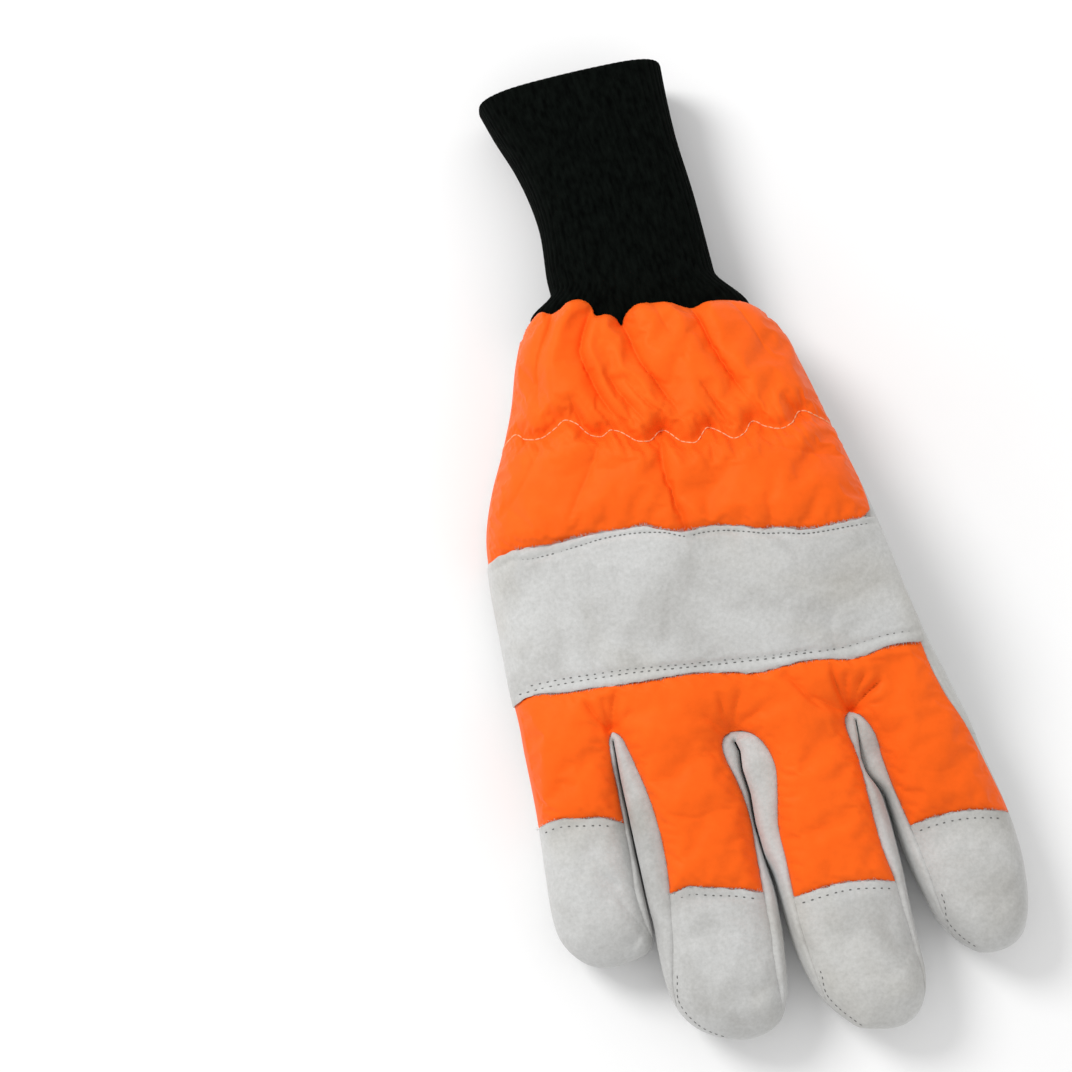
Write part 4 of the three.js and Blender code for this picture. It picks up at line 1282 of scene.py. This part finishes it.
def threads():
    rows = [
        stitches(line, strap_surface, pitch, length, STITCH_RADIUS, 0.04)
        for line, pitch, length in zip(STRAP_STITCHES, (1.35, 2.1, 2.2), (0.8, 0.85, 0.8))
    ]
    for i, ends in enumerate(((-62, -41.5), (-30.5, -8.6), (1.5, 27.5), (37.5, 61.5))):
        x = np.linspace(*ends, 9)
        line = plan_of(x, on_line(CAP_EDGES[i], x) - 2.1)
        rows.append(stitches(line, cap_surface(i), 2.15, 0.8, CAP_STITCH_RADIUS, 0.03))
        # the closing seam shows a few threads where it runs round the tip
        if i > 0:
            tip_y = FINGERS[i]["tip"][1]
            y = np.linspace(0.5 * tip_y + 0.5 * CAP_EDGES[i][0][1], tip_y + 2.2, 60)
            middle, wide = finger_at(i, y)[:2]
            line = plan_of(middle - wide * seam_share(i, -1, y) * 0.97 + 0.7, y)
            rows.append(stitches(line, cap_surface(i), 1.7, 0.9, STITCH_RADIUS, 0.03))
    piece("grey_stitches", stacked(*rows), THREAD)
    surface = lambda x, y: wrist_height(plan_of(x, y))
    body = stitches(trace(ELASTIC, 0.5), surface, 1.8, 1.85, STITCH_RADIUS, 0.12)
    piece("elastic_thread", body, PALE)


def fibres(line, surface, seed, reach, away):
    """Loose fibres along a raw leather edge, each a thin bent strand."""
    path = trace(line, 0.3)
    r = np.random.RandomState(seed)
    count = int(len(path) * 2.6)
    at = r.uniform(0, len(path) - 1.001, count)
    low = at.astype(int)
    ahead = path[low + 1] - path[low]
    root = path[low] + ahead * (at - low)[:, None]
    out = plan_of(-ahead[:, 1], ahead[:, 0]) / np.linalg.norm(ahead, axis=1)[:, None] * away
    turn = r.normal(0, 0.7, count)
    heading = plan_of(out[:, 0] * np.cos(turn) - out[:, 1] * np.sin(turn),
                      out[:, 0] * np.sin(turn) + out[:, 1] * np.cos(turn))
    length = reach * r.uniform(0.25, 1, count) ** 1.5
    root = root - out * 0.15
    z0 = surface(root[:, 0], root[:, 1]) + r.uniform(-0.25, 0.1, count)
    curl, climb = r.normal(0, 0.6, count), r.normal(0.05, 0.25, count)
    side = plan_of(-heading[:, 1], heading[:, 0])
    t = np.linspace(0, 1, 4)
    bent = side[:, None] * (curl[:, None] * t**2)[..., None]
    mid = root[:, None] + length[:, None, None] * (heading[:, None] * t[:, None] + bent)
    z = z0[:, None] + length[:, None] * (climb[:, None] * t - 0.35 * t**2)
    spine = np.concatenate([mid, z[..., None]], -1)
    angle = np.arange(3) * 2 * np.pi / 3
    thick = r.uniform(0.045, 0.075, count)[:, None, None] * (1 - 0.6 * t)[:, None]
    ring = side[:, None, None] * (np.cos(angle) * thick)[..., None]
    ring = np.concatenate([ring, (np.sin(angle) * thick)[..., None]], -1)
    points = (spine[:, :, None] + ring).reshape(-1, 3)
    tube = np.vstack([grid_faces(4, 3, closed=True), [[0, 2, 1], [9, 10, 11]]])
    faces = (tube[None] + 12 * np.arange(count)[:, None, None]).reshape(-1, 3)
    return points, faces


def fuzz():
    bodies = [fibres([p for p in STRAP_TOP if -57 < p[0] < 47], strap_surface, 300, 1.3, 1),
              fibres([p for p in STRAP_BOTTOM if -58 < p[0] < 52], strap_surface, 301, 1.3, -1)]
    for i, (first, last) in enumerate(((-63.5, -40), (-37, -6), (-0.5, 30), (34.5, 64))):
        x = np.linspace(first, last, 12)
        line = plan_of(x, on_line(CAP_EDGES[i], x))
        bodies.append(fibres(line, cap_surface(i), 310 + i, 1.1, 1))
    piece("raw_edge_fibres", stacked(*bodies), LEATHER)


wrist_panel()
back_panel()
knuckle_strap()
for i in range(4):
    tip_cap(i)
for i in range(3):
    fork(i)
palm()
thumb()
cuff()
threads()
fuzz()

# ---------------------------------------------------------------- floor, light and camera

bpy.ops.mesh.primitive_grid_add(
    x_subdivisions=8, y_subdivisions=8, size=6, location=(0, 0, -0.0004)
)
floor = bpy.context.object
floor.name = "studio_floor"
floor.data.materials.append(material("pale_floor", floor_build))

bpy.context.scene.view_settings.view_transform = "Standard"
world = bpy.context.scene.world or bpy.data.worlds.new("studio")
bpy.context.scene.world = world
world.use_nodes = True
world.node_tree.nodes["Background"].inputs["Color"].default_value = (1, 1, 1, 1)
world.node_tree.nodes["Background"].inputs["Strength"].default_value = 0.8


def lamp(name, place, aim, size, power):
    data = bpy.data.lights.new(name, "AREA")
    data.shape = "DISK"
    data.size, data.energy = size, power
    obj = placed(name, data)
    obj.location = place
    obj.rotation_euler = (Vector(aim) - Vector(place)).to_track_quat("-Z", "Y").to_euler()


lamp("key", (-0.7, 0.75, 1.0), (0, 0, 0), 0.6, 11.5)
lamp("fill", (0.9, -0.5, 0.8), (0, 0, 0), 1.2, 0.8)

azimuth, elevation, distance = np.radians(-14), np.radians(80), 0.85
level = np.cos(elevation)
look = Vector((-np.sin(azimuth) * level, np.cos(azimuth) * level, -np.sin(elevation)))
right = look.cross(Vector((0, 0, 1))).normalized()
upward = right.cross(look)
camera = placed("camera", bpy.data.cameras.new("camera"))
camera.data.lens, camera.data.sensor_width = 100, 36
camera.data.clip_start, camera.data.clip_end = 0.05, 20
place = Vector((0.01815, -0.00664, 0)) - look * distance - right * 0.0645 + upward * 0.00685
turned = Matrix((right, upward, -look)).transposed().to_4x4()
camera.matrix_world = Matrix.Translation(place) @ turned
bpy.context.scene.camera = camera
